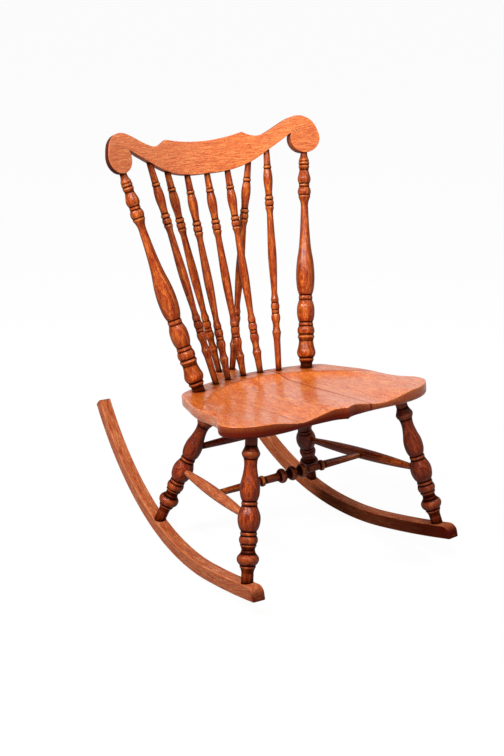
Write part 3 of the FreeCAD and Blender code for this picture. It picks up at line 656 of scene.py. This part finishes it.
middle_at, middle_wide = half_marks[0][0]
middle_disc = [[(-middle_at, middle_wide), (0, centre_stretcher_disc / 2), (middle_at, middle_wide)]]
centre_middle = crossing * np.array([0.0, 1.0, 1.0])
outer_disc = centre_disc_share * centre_half
centre_dark = [(middle, disc_grime_run) for middle in (-outer_disc, 0.0, outer_disc)]
# Where it goes into the side stretchers it is darkened with dirt and painted shade.
centre_dark += [(side * (centre_half - centre_tenon_depth), centre_grime_and_shade_run) for side in (-1, 1)]
make_turned("centre_stretcher", centre_middle, centre_middle + np.array([1.0, 0.0, 0.0]),
            other_half + middle_disc + half_marks, centre_seed, post_oak, dark=centre_dark)

# Seat
# Three oak boards glued edge to edge, sawn to a shield with two lobes and a nose in front and a fishtail
# behind, and hollowed by hand: a bowl before the spindles and a hollow for each thigh. The joint on the
# right has opened a hair. The lower edge is rounded well over and the upper one only eased.
seat_thickness = 24.0
bobtail_thickness = 20.0
seat_lower_round = 7.0
seat_upper_round = 1.8
seat_joints = (-100.0, 60.0)
joint_gaps = (0.12, 0.5)
joint_dirt = (0.3, 0.8)
bowl_depth = 8.5
thigh_depth = 11.0
bobtail_reach = 70.0
bobtail_half_width = 30.0
bobtail_half_neck = 15.0
bobtail_corner_round = 9.0
bobtail_corner_insets = [(3.0, 2.0), (9.0, -1.6)]
bobtail_flare_inset = 1.5
bobtail_bulge = 4.0
bobtail_thinning = (16.0, 20.0)
ridge_middle_share = 0.885
ridge_drop_share = 0.49
ridge_run_share = 0.13
bowl_centre_share = 0.62
bowl_run_share = 0.62
rim_run_share = 0.20
rim_half_width_share = 0.84
thigh_centre_share = 0.385
thigh_half_width_share = 0.34
side_shares = [(0.655, 0.898), (0.725, 0.862), (0.768, 0.800), (0.803, 0.726), (0.852, 0.628), (0.884, 0.500),
               (0.890, 0.398), (0.935, 0.300), (0.992, 0.235), (0.990, 0.170), (0.930, 0.113), (0.830, 0.070),
               (0.680, 0.043), (0.490, 0.040), (0.306, 0.048), (0.105, 0.042)]
nose_shares = [(0.105, 0.042), (0.048, 0.030), (0.000, 0.011)]
core_runs = [(0.0, 110), (0.25, 125), (0.35, 150), (0.49, 200), (0.70, 325), (0.88, 378), (0.96, 425),
             (1.0, 434)]
outline_step = 1.0
seat_columns = 420
seat_rows = 84
back_rows = 13
least_facing = 0.45
merge_distance = 0.001
cut_distance = 0.0001


def eased(run):
    """A smooth step from 0 to 1."""
    run = np.clip(run, 0, 1)
    return run * run * (3 - 2 * run)


def before_ridge(x, y):
    """How far a point lies in front of the ridge that bounds the bowl at the back."""
    out = np.abs(x) / (seat_width / 2)
    return (ridge_middle_share - ridge_drop_share * out ** 2) * seat_depth - y


def saddle_depth(x, y):
    """How far the top is hollowed: a bowl before the ridge, running forward into two thigh hollows."""
    out = np.abs(x) / (seat_width / 2)
    behind = 1 - (1 - np.clip(before_ridge(x, y) / (ridge_run_share * seat_depth), 0, 1)) ** 2
    beside = eased((rim_half_width_share - out) / rim_run_share)
    forward = eased((bowl_centre_share - y / seat_depth) / bowl_run_share)
    thigh = thigh_depth * eased(1 - np.abs(out - thigh_centre_share) / thigh_half_width_share)
    return behind * beside * (bowl_depth * (1 - forward) + thigh * forward)


def even_points(line, count):
    """The same line with its points an equal distance apart, and the share of its length at each."""
    run = np.concatenate([[0], np.cumsum(np.linalg.norm(np.diff(line, axis=0), axis=1))])
    share = np.linspace(0, 1, count)
    at = share * run[-1]
    return np.stack([np.interp(at, run, line[:, 0]), np.interp(at, run, line[:, 1])], axis=-1), share


def board_grid(edge, core, front, back, front_round, back_round, rows):
    """A sawn board as rings of one outline: each ring lies a share of the way from the core line to the
    edge on one face, then goes over the rounded edges, and back in along the other face. Front and back
    give the height of each face at a point."""
    ruling = core - edge
    ruling /= np.linalg.norm(ruling, axis=1)[:, None]
    tangent = np.roll(edge, -1, axis=0) - np.roll(edge, 1, axis=0)
    inward = np.stack([-tangent[:, 1], tangent[:, 0]], axis=-1) / np.linalg.norm(tangent, axis=1)[:, None]
    facing = (ruling * inward).sum(axis=1)
    facing = np.clip(facing * np.sign(facing.mean()), least_facing, 1)[:, None]
    theta = np.linspace(0, np.pi / 2, corner_steps)

    def pulled(distance):
        """The outline drawn in along its rulings, until it lies this far inside the edge."""
        return edge + ruling * distance / facing

    rings = []
    last = pulled(front_round)
    for share in np.linspace(0, 1, rows, endpoint=False):
        flat = core + (last - core) * share
        rings.append(np.column_stack([flat, front(flat[:, 0], flat[:, 1])]))
    for angle in theta:
        flat = pulled(front_round * (1 - np.sin(angle)))
        fall = front_round * (1 - np.cos(angle))
        rings.append(np.column_stack([flat, front(flat[:, 0], flat[:, 1]) - fall]))
    for angle in theta[::-1]:
        flat = pulled(back_round * (1 - np.sin(angle)))
        rise = back_round * (1 - np.cos(angle))
        rings.append(np.column_stack([flat, back(flat[:, 0], flat[:, 1]) + rise]))
    last = pulled(back_round)
    for share in np.linspace(1, 0, back_rows)[1:]:
        flat = core + (last - core) * share
        rings.append(np.column_stack([flat, back(flat[:, 0], flat[:, 1])]))
    return np.array(rings)


def board_mesh(rings):
    """The rings of a board joined by faces, with the points that meet on its core line merged."""
    blank = bpy.data.meshes.new("blank")
    blank.from_pydata(rings.reshape(-1, 3).tolist(), [], grid_faces(*rings.shape[:2]))
    board = bmesh.new()
    board.from_mesh(blank)
    bpy.data.meshes.remove(blank)
    bmesh.ops.remove_doubles(board, verts=board.verts, dist=merge_distance)
    return board


def board_arrays(board):
    """The points and faces of a finished board, its faces turned outwards."""
    bmesh.ops.recalc_face_normals(board, faces=board.faces)
    board.verts.index_update()
    verts = np.array([vert.co[:] for vert in board.verts])
    faces = [[vert.index for vert in face.verts] for face in board.faces]
    board.free()
    return verts, faces


def seat_outline(count):
    """The right half of the outline from nose to tail, then its mirror image, with the core line of each: a
    smooth nose and side, a circle behind the spindles, and the fishtail's flare, corner and end."""
    scale = np.array([seat_width / 2, seat_depth])
    nose = drawn(np.array(nose_shares[::-1]) * scale, outline_step)
    side = drawn(np.array(side_shares[::-1]) * scale, outline_step)
    shoulder = np.array(side_shares[0]) * scale
    back = drawn([shoulder, (0.0, seat_depth), shoulder * (-1, 1)], outline_step)
    back = back[back[:, 0] > bobtail_half_neck]
    end = seat_depth + bobtail_reach
    third = (bobtail_half_width - bobtail_half_neck) / 3
    flare = drawn([(bobtail_half_neck, seat_depth - outline_step),
                   (bobtail_half_neck + third, seat_depth + bobtail_reach / 2),
                   (bobtail_half_width - bobtail_flare_inset, end - bobtail_corner_round)], outline_step)
    turn = [(bobtail_half_width - across, end - along) for across, along in bobtail_corner_insets]
    corner = drawn([flare[-1]] + turn, outline_step)
    tail = drawn([corner[-1], (bobtail_half_width / 3, end + bobtail_bulge),
                  (0.0, end + bobtail_corner_round / 2)], outline_step)
    half = np.concatenate([nose, side[1:], back[1:], flare, corner[1:], tail[1:]])
    half, share = even_points(half, count)
    core = np.column_stack([np.zeros(count), np.interp(share, *zip(*core_runs))])
    edge = np.concatenate([half, half[-2:0:-1] * (-1, 1)])
    return edge, np.concatenate([core, core[-2:0:-1]])


def underside(x, y):
    """The height of the seat's underside, which rises by an eased step to the thinner fishtail."""
    before, run = bobtail_thinning
    return -seat_thickness + (seat_thickness - bobtail_thickness) * eased((y - seat_depth + before) / run)


edge, core = seat_outline(seat_columns)
seat_rings = board_grid(edge, core, lambda x, y: -saddle_depth(x, y), underside, seat_upper_round,
                        seat_lower_round, seat_rows)


def cut_board(left, right):
    """The part of the seat between two planes across it, with the cuts closed."""
    board = board_mesh(seat_rings)
    for at, outward in ((left, -1), (right, 1)):
        geometry = board.verts[:] + board.edges[:] + board.faces[:]
        cut = bmesh.ops.bisect_plane(board, geom=geometry, dist=cut_distance, plane_co=(at, 0, 0),
                                     plane_no=(outward, 0, 0), clear_outer=True)
        rim = [part for part in cut["geom_cut"] if isinstance(part, bmesh.types.BMEdge)]
        if rim:
            bmesh.ops.holes_fill(board, edges=rim)
    return board_arrays(board)


# Worn smooth by use but still bright, with a soft glare; its sawn edges have gone dark.
seat_oak = oak(
    "hollowed_golden_oak_worn_shellac",
    wood=[(0.42, "#B04804"), (0.50, "#D86C1C"), (0.59, "#F6A24E")],
    blotch="#E0AE88", pore="#6E2606", grime_and_shade_colour="#5A1404", lift="#F6B276",
    ring=3.2, streak=2.8, rough=0.21, shine=0.48, coat=0.08, ring_share=0.12, pore_share=0.8, rim=0.0,
)
seat_planes = [-seat_width, seat_joints[0], seat_joints[1], seat_width]
post_place_shares = (0.5629, 0.8527)
spindle_place_shares = [(-0.3297, 0.9136), (-0.1699, 0.9497), (0.0, 0.9585), (0.1699, 0.9497),
                        (0.3297, 0.9136)]
brace_half_span = 16.0
brace_reach = 53.0
post_feet = [(side * post_place_shares[0] * seat_width / 2, post_place_shares[1] * seat_depth)
             for side in (-1, 1)]
spindle_feet = [(across * seat_width / 2, along * seat_depth) for across, along in spindle_place_shares]
spindle_feet += [(side * brace_half_span, seat_depth + brace_reach) for side in (-1, 1)]
foot_dirt_and_shade = 0.7
foot_dirt_and_shade_run = 4.0
spindle_foot_radius = 6.0
post_foot_radius = 12.3
edge_dirt = 0.34
edge_dirt_place = (0.8, 1.6)
front_edge_dirt = 0.58
front_edge_share = 0.32
front_edge_run = 50.0
right_edge_painted_light = 0.65
right_edge_painted_light_run = 90.0
arris_worn = 0.4
arris_place = (0.9, 0.4)
behind_ridge_dirt = 0.24
behind_ridge_place = (3.0, 6.0)
ridge_dirt = 0.30
ridge_dirt_place = (1.0, 4.0)
top_reach = 0.5
joint_reach = 1.0
board_logs = [(1, 40, 46), (-1, -25, 38), (1, 55, 60)]
board_log_step = 700


def seat_dirt_and_shade(x, y, z):
    """Where the seat is dirty, worn, or painted with shade or light. Dirt and painted shade fade away from
    the feet of posts and spindles. Dirt lies below the upper arris, thickest in front, and less on the right
    of the front, where painted light stands for light that reaches that edge. Dirt lies along the ridge and
    behind it. The upper arris itself is rubbed pale, and the glue joints are dark."""
    dirt_wear_and_shade = np.zeros(len(x))
    feet = [(foot, spindle_foot_radius) for foot in spindle_feet]
    feet += [(foot, post_foot_radius) for foot in post_feet]
    # Dirt and painted shade round the feet of posts and spindles.
    for (foot_x, foot_y), radius in feet:
        gap = np.maximum(np.hypot(x - foot_x, y - foot_y) - radius, 0)
        dirt_wear_and_shade += foot_dirt_and_shade * np.exp(-gap / foot_dirt_and_shade_run) * (z > -seat_thickness / 2)
    below = -saddle_depth(x, y) - z
    front = eased((front_edge_share * seat_depth - y) / front_edge_run)
    # Painted light: the front edge's dirt is lessened towards the right, where light reaches the edge.
    front = front * (1 - right_edge_painted_light * eased(x / right_edge_painted_light_run))
    lower = eased((below - edge_dirt_place[0]) / edge_dirt_place[1])
    arris = np.exp(-((below - arris_place[0]) / arris_place[1]) ** 2)
    dirt_wear_and_shade += (edge_dirt + front_edge_dirt * front) * lower - arris_worn * arris
    past = -before_ridge(x, y)
    behind = eased((past + behind_ridge_place[0]) / behind_ridge_place[1])
    ridge = np.exp(-((past + ridge_dirt_place[0]) / ridge_dirt_place[1]) ** 2)
    dirt_wear_and_shade += (behind_ridge_dirt * behind + ridge_dirt * ridge) * (below < top_reach)
    for joint, dirt in zip(seat_joints, joint_dirt):
        dirt_wear_and_shade += dirt * (np.abs(x - joint) < joint_reach)
    return dirt_wear_and_shade


for index, name in enumerate(("left", "centre", "right")):
    left = seat_planes[index] + (joint_gaps[index - 1] / 2 if index > 0 else 0)
    right = seat_planes[index + 1] - (joint_gaps[index] / 2 if index < 2 else 0)
    verts, faces = cut_board(left, right)
    x, y, z = verts.T
    turned, pith_across, pith_below = board_logs[index]
    grain = np.column_stack([x * turned + pith_across, z - pith_below, y + board_log_step * index])
    node = "seat_board_" + name
    finish_piece("dressed_" + node, on_seat(x, y, z), faces, grain, seat_dirt_and_shade(x, y, z), seat_oak,
                 [node])

# Crest rail
# One oak board sawn to its outline and steamed to a bend that wraps the sitter's back, with straight wings
# that end in round scrolls. Only its arrises are eased. The grain runs along it.
crest_reach = 67.1
crest_setback = seat_depth + crest_reach
crest_height = 405.6
crest_lean = math.radians(11.54)
crest_thickness = 15.5
crest_bend_radius = 430.0
crest_bend = math.radians(18.5)
crest_rise = 90.5
crest_arris = 1.1
scroll_radius = 29.4
scroll_offset = 213.5
crest_half_width = scroll_offset + scroll_radius
scroll_centre_height = 42.5
scroll_notch = 146.0
scroll_leave = 375.0
crest_lower_shares = [(0.195, 0.012), (0.325, 0.068), (0.434, 0.163), (0.570, 0.345), (0.725, 0.565)]
crest_shoulder_shares = [(0.962, 0.812), (0.905, 0.950), (0.844, 1.000), (0.716, 0.912), (0.580, 0.744),
                         (0.490, 0.688), (0.432, 0.722)]
crest_ear_share = (0.364, 0.818)
crest_middle_share = 0.718
crest_core_ends = (205.0, 207.0)
crest_core_counts = (165, 6)
crest_core_stops = np.concatenate([np.linspace(0, crest_core_ends[0], crest_core_counts[0]),
                                   np.linspace(crest_core_ends[1], scroll_offset, crest_core_counts[1])])
crest_core = [(0, 33), (47, 34), (79, 39), (105, 40), (119, 42), (138, 49), (160, 59), (176, 67), (189, 70),
              (200, 62), (207, 53), (213.5, 42.5)]
crest_counts = (190, 110, 190, 80)
crest_rows = 26
scroll_core_rush = 6


def crest_face(x, offset):
    """How far back a face of the bent board lies: a circle round the bend's centre, then a straight wing."""
    radius = crest_bend_radius + offset
    out = np.abs(x)
    start = radius * math.sin(crest_bend)
    bent = np.sqrt(np.maximum(radius ** 2 - np.minimum(out, start) ** 2, 0)) - crest_bend_radius
    return bent - np.maximum(out - start, 0) * math.tan(crest_bend)


def crest_place(x, y, z):
    """A point of the crest's own frame, leaning back from the seat's."""
    along = crest_setback + y * math.cos(crest_lean) + z * math.sin(crest_lean)
    rise = crest_height - y * math.sin(crest_lean) + z * math.cos(crest_lean)
    return on_seat(x, along, rise)


def scroll_point(angle):
    """The point of the right scroll's circle at an angle in degrees."""
    turn = math.radians(angle)
    return np.array([scroll_offset + scroll_radius * math.cos(turn),
                     scroll_centre_height + scroll_radius * math.sin(turn)])


def crest_outline():
    """The right half of the outline from the middle of the lower edge round the scroll to the middle of the
    top, then its mirror image. The core line is the middle of the board, and the scroll's own centre. Its
    points are moved to fixed stops, so that those of the lower and the upper half meet."""
    scale = np.array([crest_half_width, crest_rise])
    notch = scroll_point(scroll_notch)
    right = [np.array(share) * scale for share in crest_lower_shares] + [notch]
    left = [point * (-1, 1) for point in reversed(right)]
    lower = drawn(left + [np.zeros(2)] + right, outline_step)
    lower = lower[lower[:, 0] >= 0]
    scroll = drawn([notch, scroll_point((scroll_notch + scroll_leave) / 2), scroll_point(scroll_leave)],
                   outline_step)
    ear = np.array(crest_ear_share) * scale
    shoulder = [np.array(share) * scale for share in crest_shoulder_shares]
    shoulder = drawn([scroll[-1]] + shoulder + [ear], outline_step)
    middle = drawn([ear, (0.0, crest_middle_share * crest_rise), ear * (-1, 1)], outline_step)
    middle = middle[middle[:, 0] >= 0]
    runs = [(lower, 0.0, crest_core_ends[0]), (scroll, crest_core_ends[1], scroll_offset),
            (shoulder, scroll_offset, ear[0]), (middle, ear[0], 0.0)]
    parts = []
    for (line, first, final), count in zip(runs, crest_counts):
        points, share = even_points(line, count)
        if final == scroll_offset:
            reach = np.minimum(first + (final - first) * share * scroll_core_rush, final)
        else:
            reach = first + (final - first) * share
        parts.append(np.column_stack([points, reach])[1 if parts else 0:])
    half = np.concatenate(parts)
    half[-1, 0] = 0.0
    half[0, 0] = 0.0
    half[:, 2] = crest_core_stops[np.abs(crest_core_stops - half[:, 2:]).argmin(axis=1)]
    core = np.column_stack([half[:, 2], np.interp(half[:, 2], *zip(*crest_core))])
    edge = np.concatenate([half[:, :2], half[-2:0:-1, :2] * (-1, 1)])
    return edge, np.concatenate([core, core[-2:0:-1] * (-1, 1)]), lower


edge, core, crest_lower = crest_outline()
rings = board_grid(edge, core, lambda x, z: -crest_face(x, -crest_thickness / 2),
                   lambda x, z: -crest_face(x, crest_thickness / 2), crest_arris, crest_arris, crest_rows)
verts, faces = board_arrays(board_mesh(rings))
x, z, forward = verts.T

# Satin and even, the best board of the chair, with a fine straight grain.
crest_oak = oak(
    "sawn_golden_oak_satin_shellac",
    wood=[(0.42, "#C05418"), (0.50, "#E87C36"), (0.60, "#F8A25C")],
    blotch="#EED0C0", pore="#7C2C0C", grime_and_shade_colour="#4A1A10", lift="#F4A878",
    ring=4.5, streak=3.0, rough=0.36, shine=0.4, coat=0.05, ring_share=0.08, pore_share=0.75, rim=0.0,
)
crest_pith = (52, 26)
crest_log_place = 900
crest_edge_dirt = 0.55
crest_arris_share = 0.1
end_grain_dirt = 0.45
end_grain_run = 15.0
sawn_limit = 0.5
scroll_dirt = 0.16
scroll_dirt_place = (6.0, 12.0)
along = np.sign(x) * crest_bend_radius * np.arcsin(np.clip(np.abs(x) / crest_bend_radius, 0, 1))
grain = np.column_stack([forward + crest_face(x, 0) + crest_pith[0], z + crest_pith[1],
                         along + crest_log_place])

# The sawn edges are dark between their arrises, most where the end grain of the scrolls soaked up shellac.
# The scrolls are a little dirty, as hands hold them.
inside = -crest_face(x, -crest_thickness / 2) - forward
from_back = crest_face(x, crest_thickness / 2) + forward
sawn = eased(inside / crest_arris - crest_arris_share) * eased(from_back / crest_arris - crest_arris_share)
dirt_wear_and_shade = crest_edge_dirt * sawn
dirt_wear_and_shade += end_grain_dirt * (dirt_wear_and_shade > sawn_limit) * eased((np.abs(x) - scroll_offset) / end_grain_run)
from_scroll = np.hypot(np.abs(x) - scroll_offset, z - scroll_centre_height)
dirt_wear_and_shade += scroll_dirt * eased((scroll_radius + scroll_dirt_place[0] - from_scroll) / scroll_dirt_place[1])
finish_piece("dressed_crest_rail", crest_place(x, -forward, z), faces, grain, dirt_wear_and_shade, crest_oak,
             ["crest_rail"])

# Back posts
# Two heavy turned posts that carry the scrolls. They stand in holes in the seat and end in a tenon that is
# # hidden in the scroll. Their oak has the centre stretcher's bright shellac, with thick dirt and painted
# # shade at the foot.
post_vase = 38.4
post_top_inset = 3.6
post_seat_depth = 12.0
post_crest_depth = 8.0
post_foot_grime_and_shade_run = 26.0
post_head_grime_and_shade_run = 2.5
post_seed = 40
post_shares = [
    [(0.000, 0.638), (0.022, 0.640)],
    [(0.030, 0.740), (0.036, 0.807)],
    [(0.043, 0.747)],
    [(0.055, 0.922), (0.069, 1.000), (0.087, 0.917), (0.101, 0.841), (0.122, 0.768)],
    [(0.134, 0.830), (0.141, 0.917)],
    [(0.153, 0.807)],
    [(0.172, 0.922), (0.192, 0.763)],
    [(0.200, 0.790), (0.209, 0.727)],
    [(0.227, 0.867), (0.245, 0.935), (0.263, 0.951), (0.289, 0.896), (0.303, 0.800), (0.315, 0.703)],
    [(0.325, 0.745), (0.335, 0.682)],
    [(0.345, 0.768), (0.359, 0.862), (0.382, 0.945), (0.429, 0.995), (0.476, 0.935),
     (0.499, 0.872), (0.546, 0.698), (0.593, 0.583), (0.639, 0.505), (0.686, 0.450), (0.749, 0.396)],
    [(0.775, 0.470), (0.794, 0.648)],
    [(0.802, 0.615)],
    [(0.818, 0.708), (0.840, 0.544)],
    [(0.847, 0.572), (0.854, 0.544)],
    [(0.875, 0.698), (0.895, 0.620), (0.918, 0.484)],
    [(0.928, 0.530), (0.934, 0.589)],
    [(0.943, 0.521)],
    [(0.950, 0.585), (0.957, 0.540)],
    [(0.967, 0.550)],
    [(0.982, 0.410), (1.000, 0.367)],
]
inner = scroll_offset - post_top_inset
drop = math.sqrt(scroll_radius ** 2 - post_top_inset ** 2)
for side, side_name in ((-1, "left"), (1, "right")):
    foot = seat_place(post_place_shares, side)
    head = crest_place(side * inner, crest_face(inner, 0), scroll_centre_height - drop)
    length = np.linalg.norm(head - foot)
    stretches = marks(post_shares, length, post_vase)
    stretches = [[(-post_seat_depth, stretches[0][0][1]), stretches[0][0]]] + stretches
    stretches.append([stretches[-1][-1], (length + post_crest_depth, stretches[-1][-1][1])])
    make_turned("back_post_" + side_name, foot, head, stretches, post_seed + side, post_oak,
                columns=thick_columns, dark=((0.0, post_foot_grime_and_shade_run), (length, post_head_grime_and_shade_run)))

# Spindles
# Five slim spindles in a row across the seat and two more that rise from the fishtail and brace the
# crest, of oak like the posts. All are turned to one pattern that hangs from the crest, with a plain foot of
# whatever is left.
spindle_swell = 19.1
spindle_neck = 33.5
left_outer_neck = 41.0
middle_foot_length = 24.4
spindle_top = 12.2
spindle_foot = 12.0
spindle_seat_depth = 9.0
spindle_crest_depth = 7.0
spindle_foot_grime_and_shade_run = 14.0
spindle_head_grime_and_shade_run = 7.0
spindle_seed = 50
thin_columns = 36
spindle_shares = [
    [(-0.006, 0.760), (0.002, 0.890), (0.011, 0.765)],
    [(0.061, 1.000), (0.105, 0.930), (0.149, 0.770), (0.168, 0.755)],
    [(0.180, 0.948), (0.192, 0.800)],
    [(0.211, 0.974), (0.227, 0.820)],
    [(0.235, 0.932), (0.243, 0.860)],
    [(0.256, 0.740), (0.278, 0.675)],
    [(0.390, 0.800), (0.508, 0.932), (0.620, 0.810), (0.708, 0.649)],
    [(0.742, 0.700), (0.762, 0.864)],
    [(0.784, 0.785)],
    [(0.808, 0.942), (0.826, 0.800)],
    [(0.836, 0.855), (0.845, 0.796)],
    [(0.869, 0.979), (0.893, 0.820)],
    [(0.905, 0.740), (0.918, 0.707)],
    [(0.938, 0.800), (0.954, 0.984)],
    [(0.975, 0.840), (1.000, 0.733)],
]
spindle_nodes = ["spindle_1", "spindle_2", "spindle_3", "spindle_4", "spindle_5", "brace_spindle_left",
                 "brace_spindle_right"]
crest_offsets = [-136.2, -47.3, 0.0, 47.3, 136.2, -94.8, 94.8]
middle_reach = on_seat(*spindle_feet[2]) - crest_place(0.0, 0.0, 0.0)
spindle_pattern = np.linalg.norm(middle_reach) - spindle_neck - middle_foot_length
for index, node in enumerate(spindle_nodes):
    neck = left_outer_neck if node == "spindle_1" else spindle_neck
    foot = on_seat(*spindle_feet[index])
    offset = crest_offsets[index]
    level = np.interp(abs(offset), crest_lower[:, 0], crest_lower[:, 1])
    head = crest_place(offset, crest_face(offset, 0), level)
    length = np.linalg.norm(head - foot)
    pattern = marks(spindle_shares, -spindle_pattern, spindle_swell, length - neck)
    pattern = [list(reversed(stretch)) for stretch in reversed(pattern)]
    stretches = [[(-spindle_seat_depth, spindle_foot / 2), (0, spindle_foot / 2)],
                 [(0, spindle_foot / 2), pattern[0][0]]]
    stretches += pattern
    stretches.append([pattern[-1][-1], (length, spindle_top / 2)])
    stretches.append([(length, spindle_top / 2), (length + spindle_crest_depth, spindle_top / 2)])
    # Both ends, at the seat and under the crest, are darkened with dirt and painted shade.
    make_turned(node, foot, head, stretches, spindle_seed + index, post_oak, columns=thin_columns,
                dark=((0.0, spindle_foot_grime_and_shade_run), (length, spindle_head_grime_and_shade_run)))

# Floor and light
# A plain white studio sweep, white as it is seen and duller where it throws light back, so that the chair's
# undersides stay dark. One soft lamp hangs high on the left, one above the camera, and a wide, weak one on
# the right.
floor_reach = 60.0
paper_share = 0.04
world_strength = 0.17
lamp_aim = Vector((0, 0, 0.4))
floor_mesh = bpy.data.meshes.new("floor")
floor_mesh.from_pydata([(-floor_reach, -floor_reach, 0), (floor_reach, -floor_reach, 0),
                        (floor_reach, floor_reach, 0), (-floor_reach, floor_reach, 0)], [], [(0, 1, 2, 3)])
floor = bpy.data.objects.new("floor", floor_mesh)
bpy.context.scene.collection.objects.link(floor)


def seen_share(tree):
    """1 for the rays that show the backdrop: from the camera, by reflection or through glass."""
    rays = add_node(tree, "ShaderNodeLightPath")
    share = rays.outputs["Is Camera Ray"]
    for kind in ("Is Glossy Ray", "Is Transmission Ray"):
        share = add_node(tree, "ShaderNodeMath", {0: share, 1: rays.outputs[kind]},
                         operation="MAXIMUM").outputs[0]
    return share


# White paper: mostly its own even white, with enough of the light on it to show the chair's shadow.
floor_material = bpy.data.materials.new("white_paper_sweep")
floor_material.use_nodes = True
floor_material.cycles.emission_sampling = "NONE"
tree = floor_material.node_tree
tree.nodes.clear()
dull = add_node(tree, "ShaderNodeBsdfDiffuse", socket_Color=linear("#8C8884"))
paper = add_node(tree, "ShaderNodeBsdfDiffuse", socket_Color=linear("#FAF9F8"))
white = add_node(tree, "ShaderNodeEmission", socket_Color=linear("#FFFFFF"), socket_Strength=1.0)
paper = add_node(tree, "ShaderNodeMixShader", {1: white.outputs[0], 2: paper.outputs[0]},
                 socket_0=paper_share)
both = add_node(tree, "ShaderNodeMixShader", {0: seen_share(tree), 1: dull.outputs[0], 2: paper.outputs[0]})
add_node(tree, "ShaderNodeOutputMaterial", {"Surface": both.outputs[0]})
floor_mesh.materials.append(floor_material)

world = bpy.data.worlds.new("studio")
bpy.context.scene.world = world
world.use_nodes = True
tree = world.node_tree
tree.nodes.clear()
dim = add_node(tree, "ShaderNodeBackground", socket_Color=linear("#FFFFFF"), socket_Strength=world_strength)
bright = add_node(tree, "ShaderNodeBackground", socket_Color=linear("#FFFFFF"), socket_Strength=1.0)
both = add_node(tree, "ShaderNodeMixShader", {0: seen_share(tree), 1: dim.outputs[0], 2: bright.outputs[0]})
add_node(tree, "ShaderNodeOutputWorld", {"Surface": both.outputs[0]})

for name, place, size, power in (
    ("key", (-2.2, 0.0, 2.3), 0.6, 90.0),
    ("front", (-1.2, -1.9, 2.9), 0.7, 80.0),
    ("right", (1.4, -0.6, 2.2), 1.2, 24.0),
):
    lamp = bpy.data.lights.new(name, "AREA")
    lamp.shape = "DISK"
    lamp.size = size
    lamp.energy = power
    light = bpy.data.objects.new(name, lamp)
    bpy.context.scene.collection.objects.link(light)
    light.location = place
    light.rotation_mode = "QUATERNION"
    light.rotation_quaternion = (lamp_aim - Vector(place)).to_track_quat("-Z", "Y")

bpy.context.scene.view_settings.view_transform = "Standard"
bpy.context.view_layer.update()
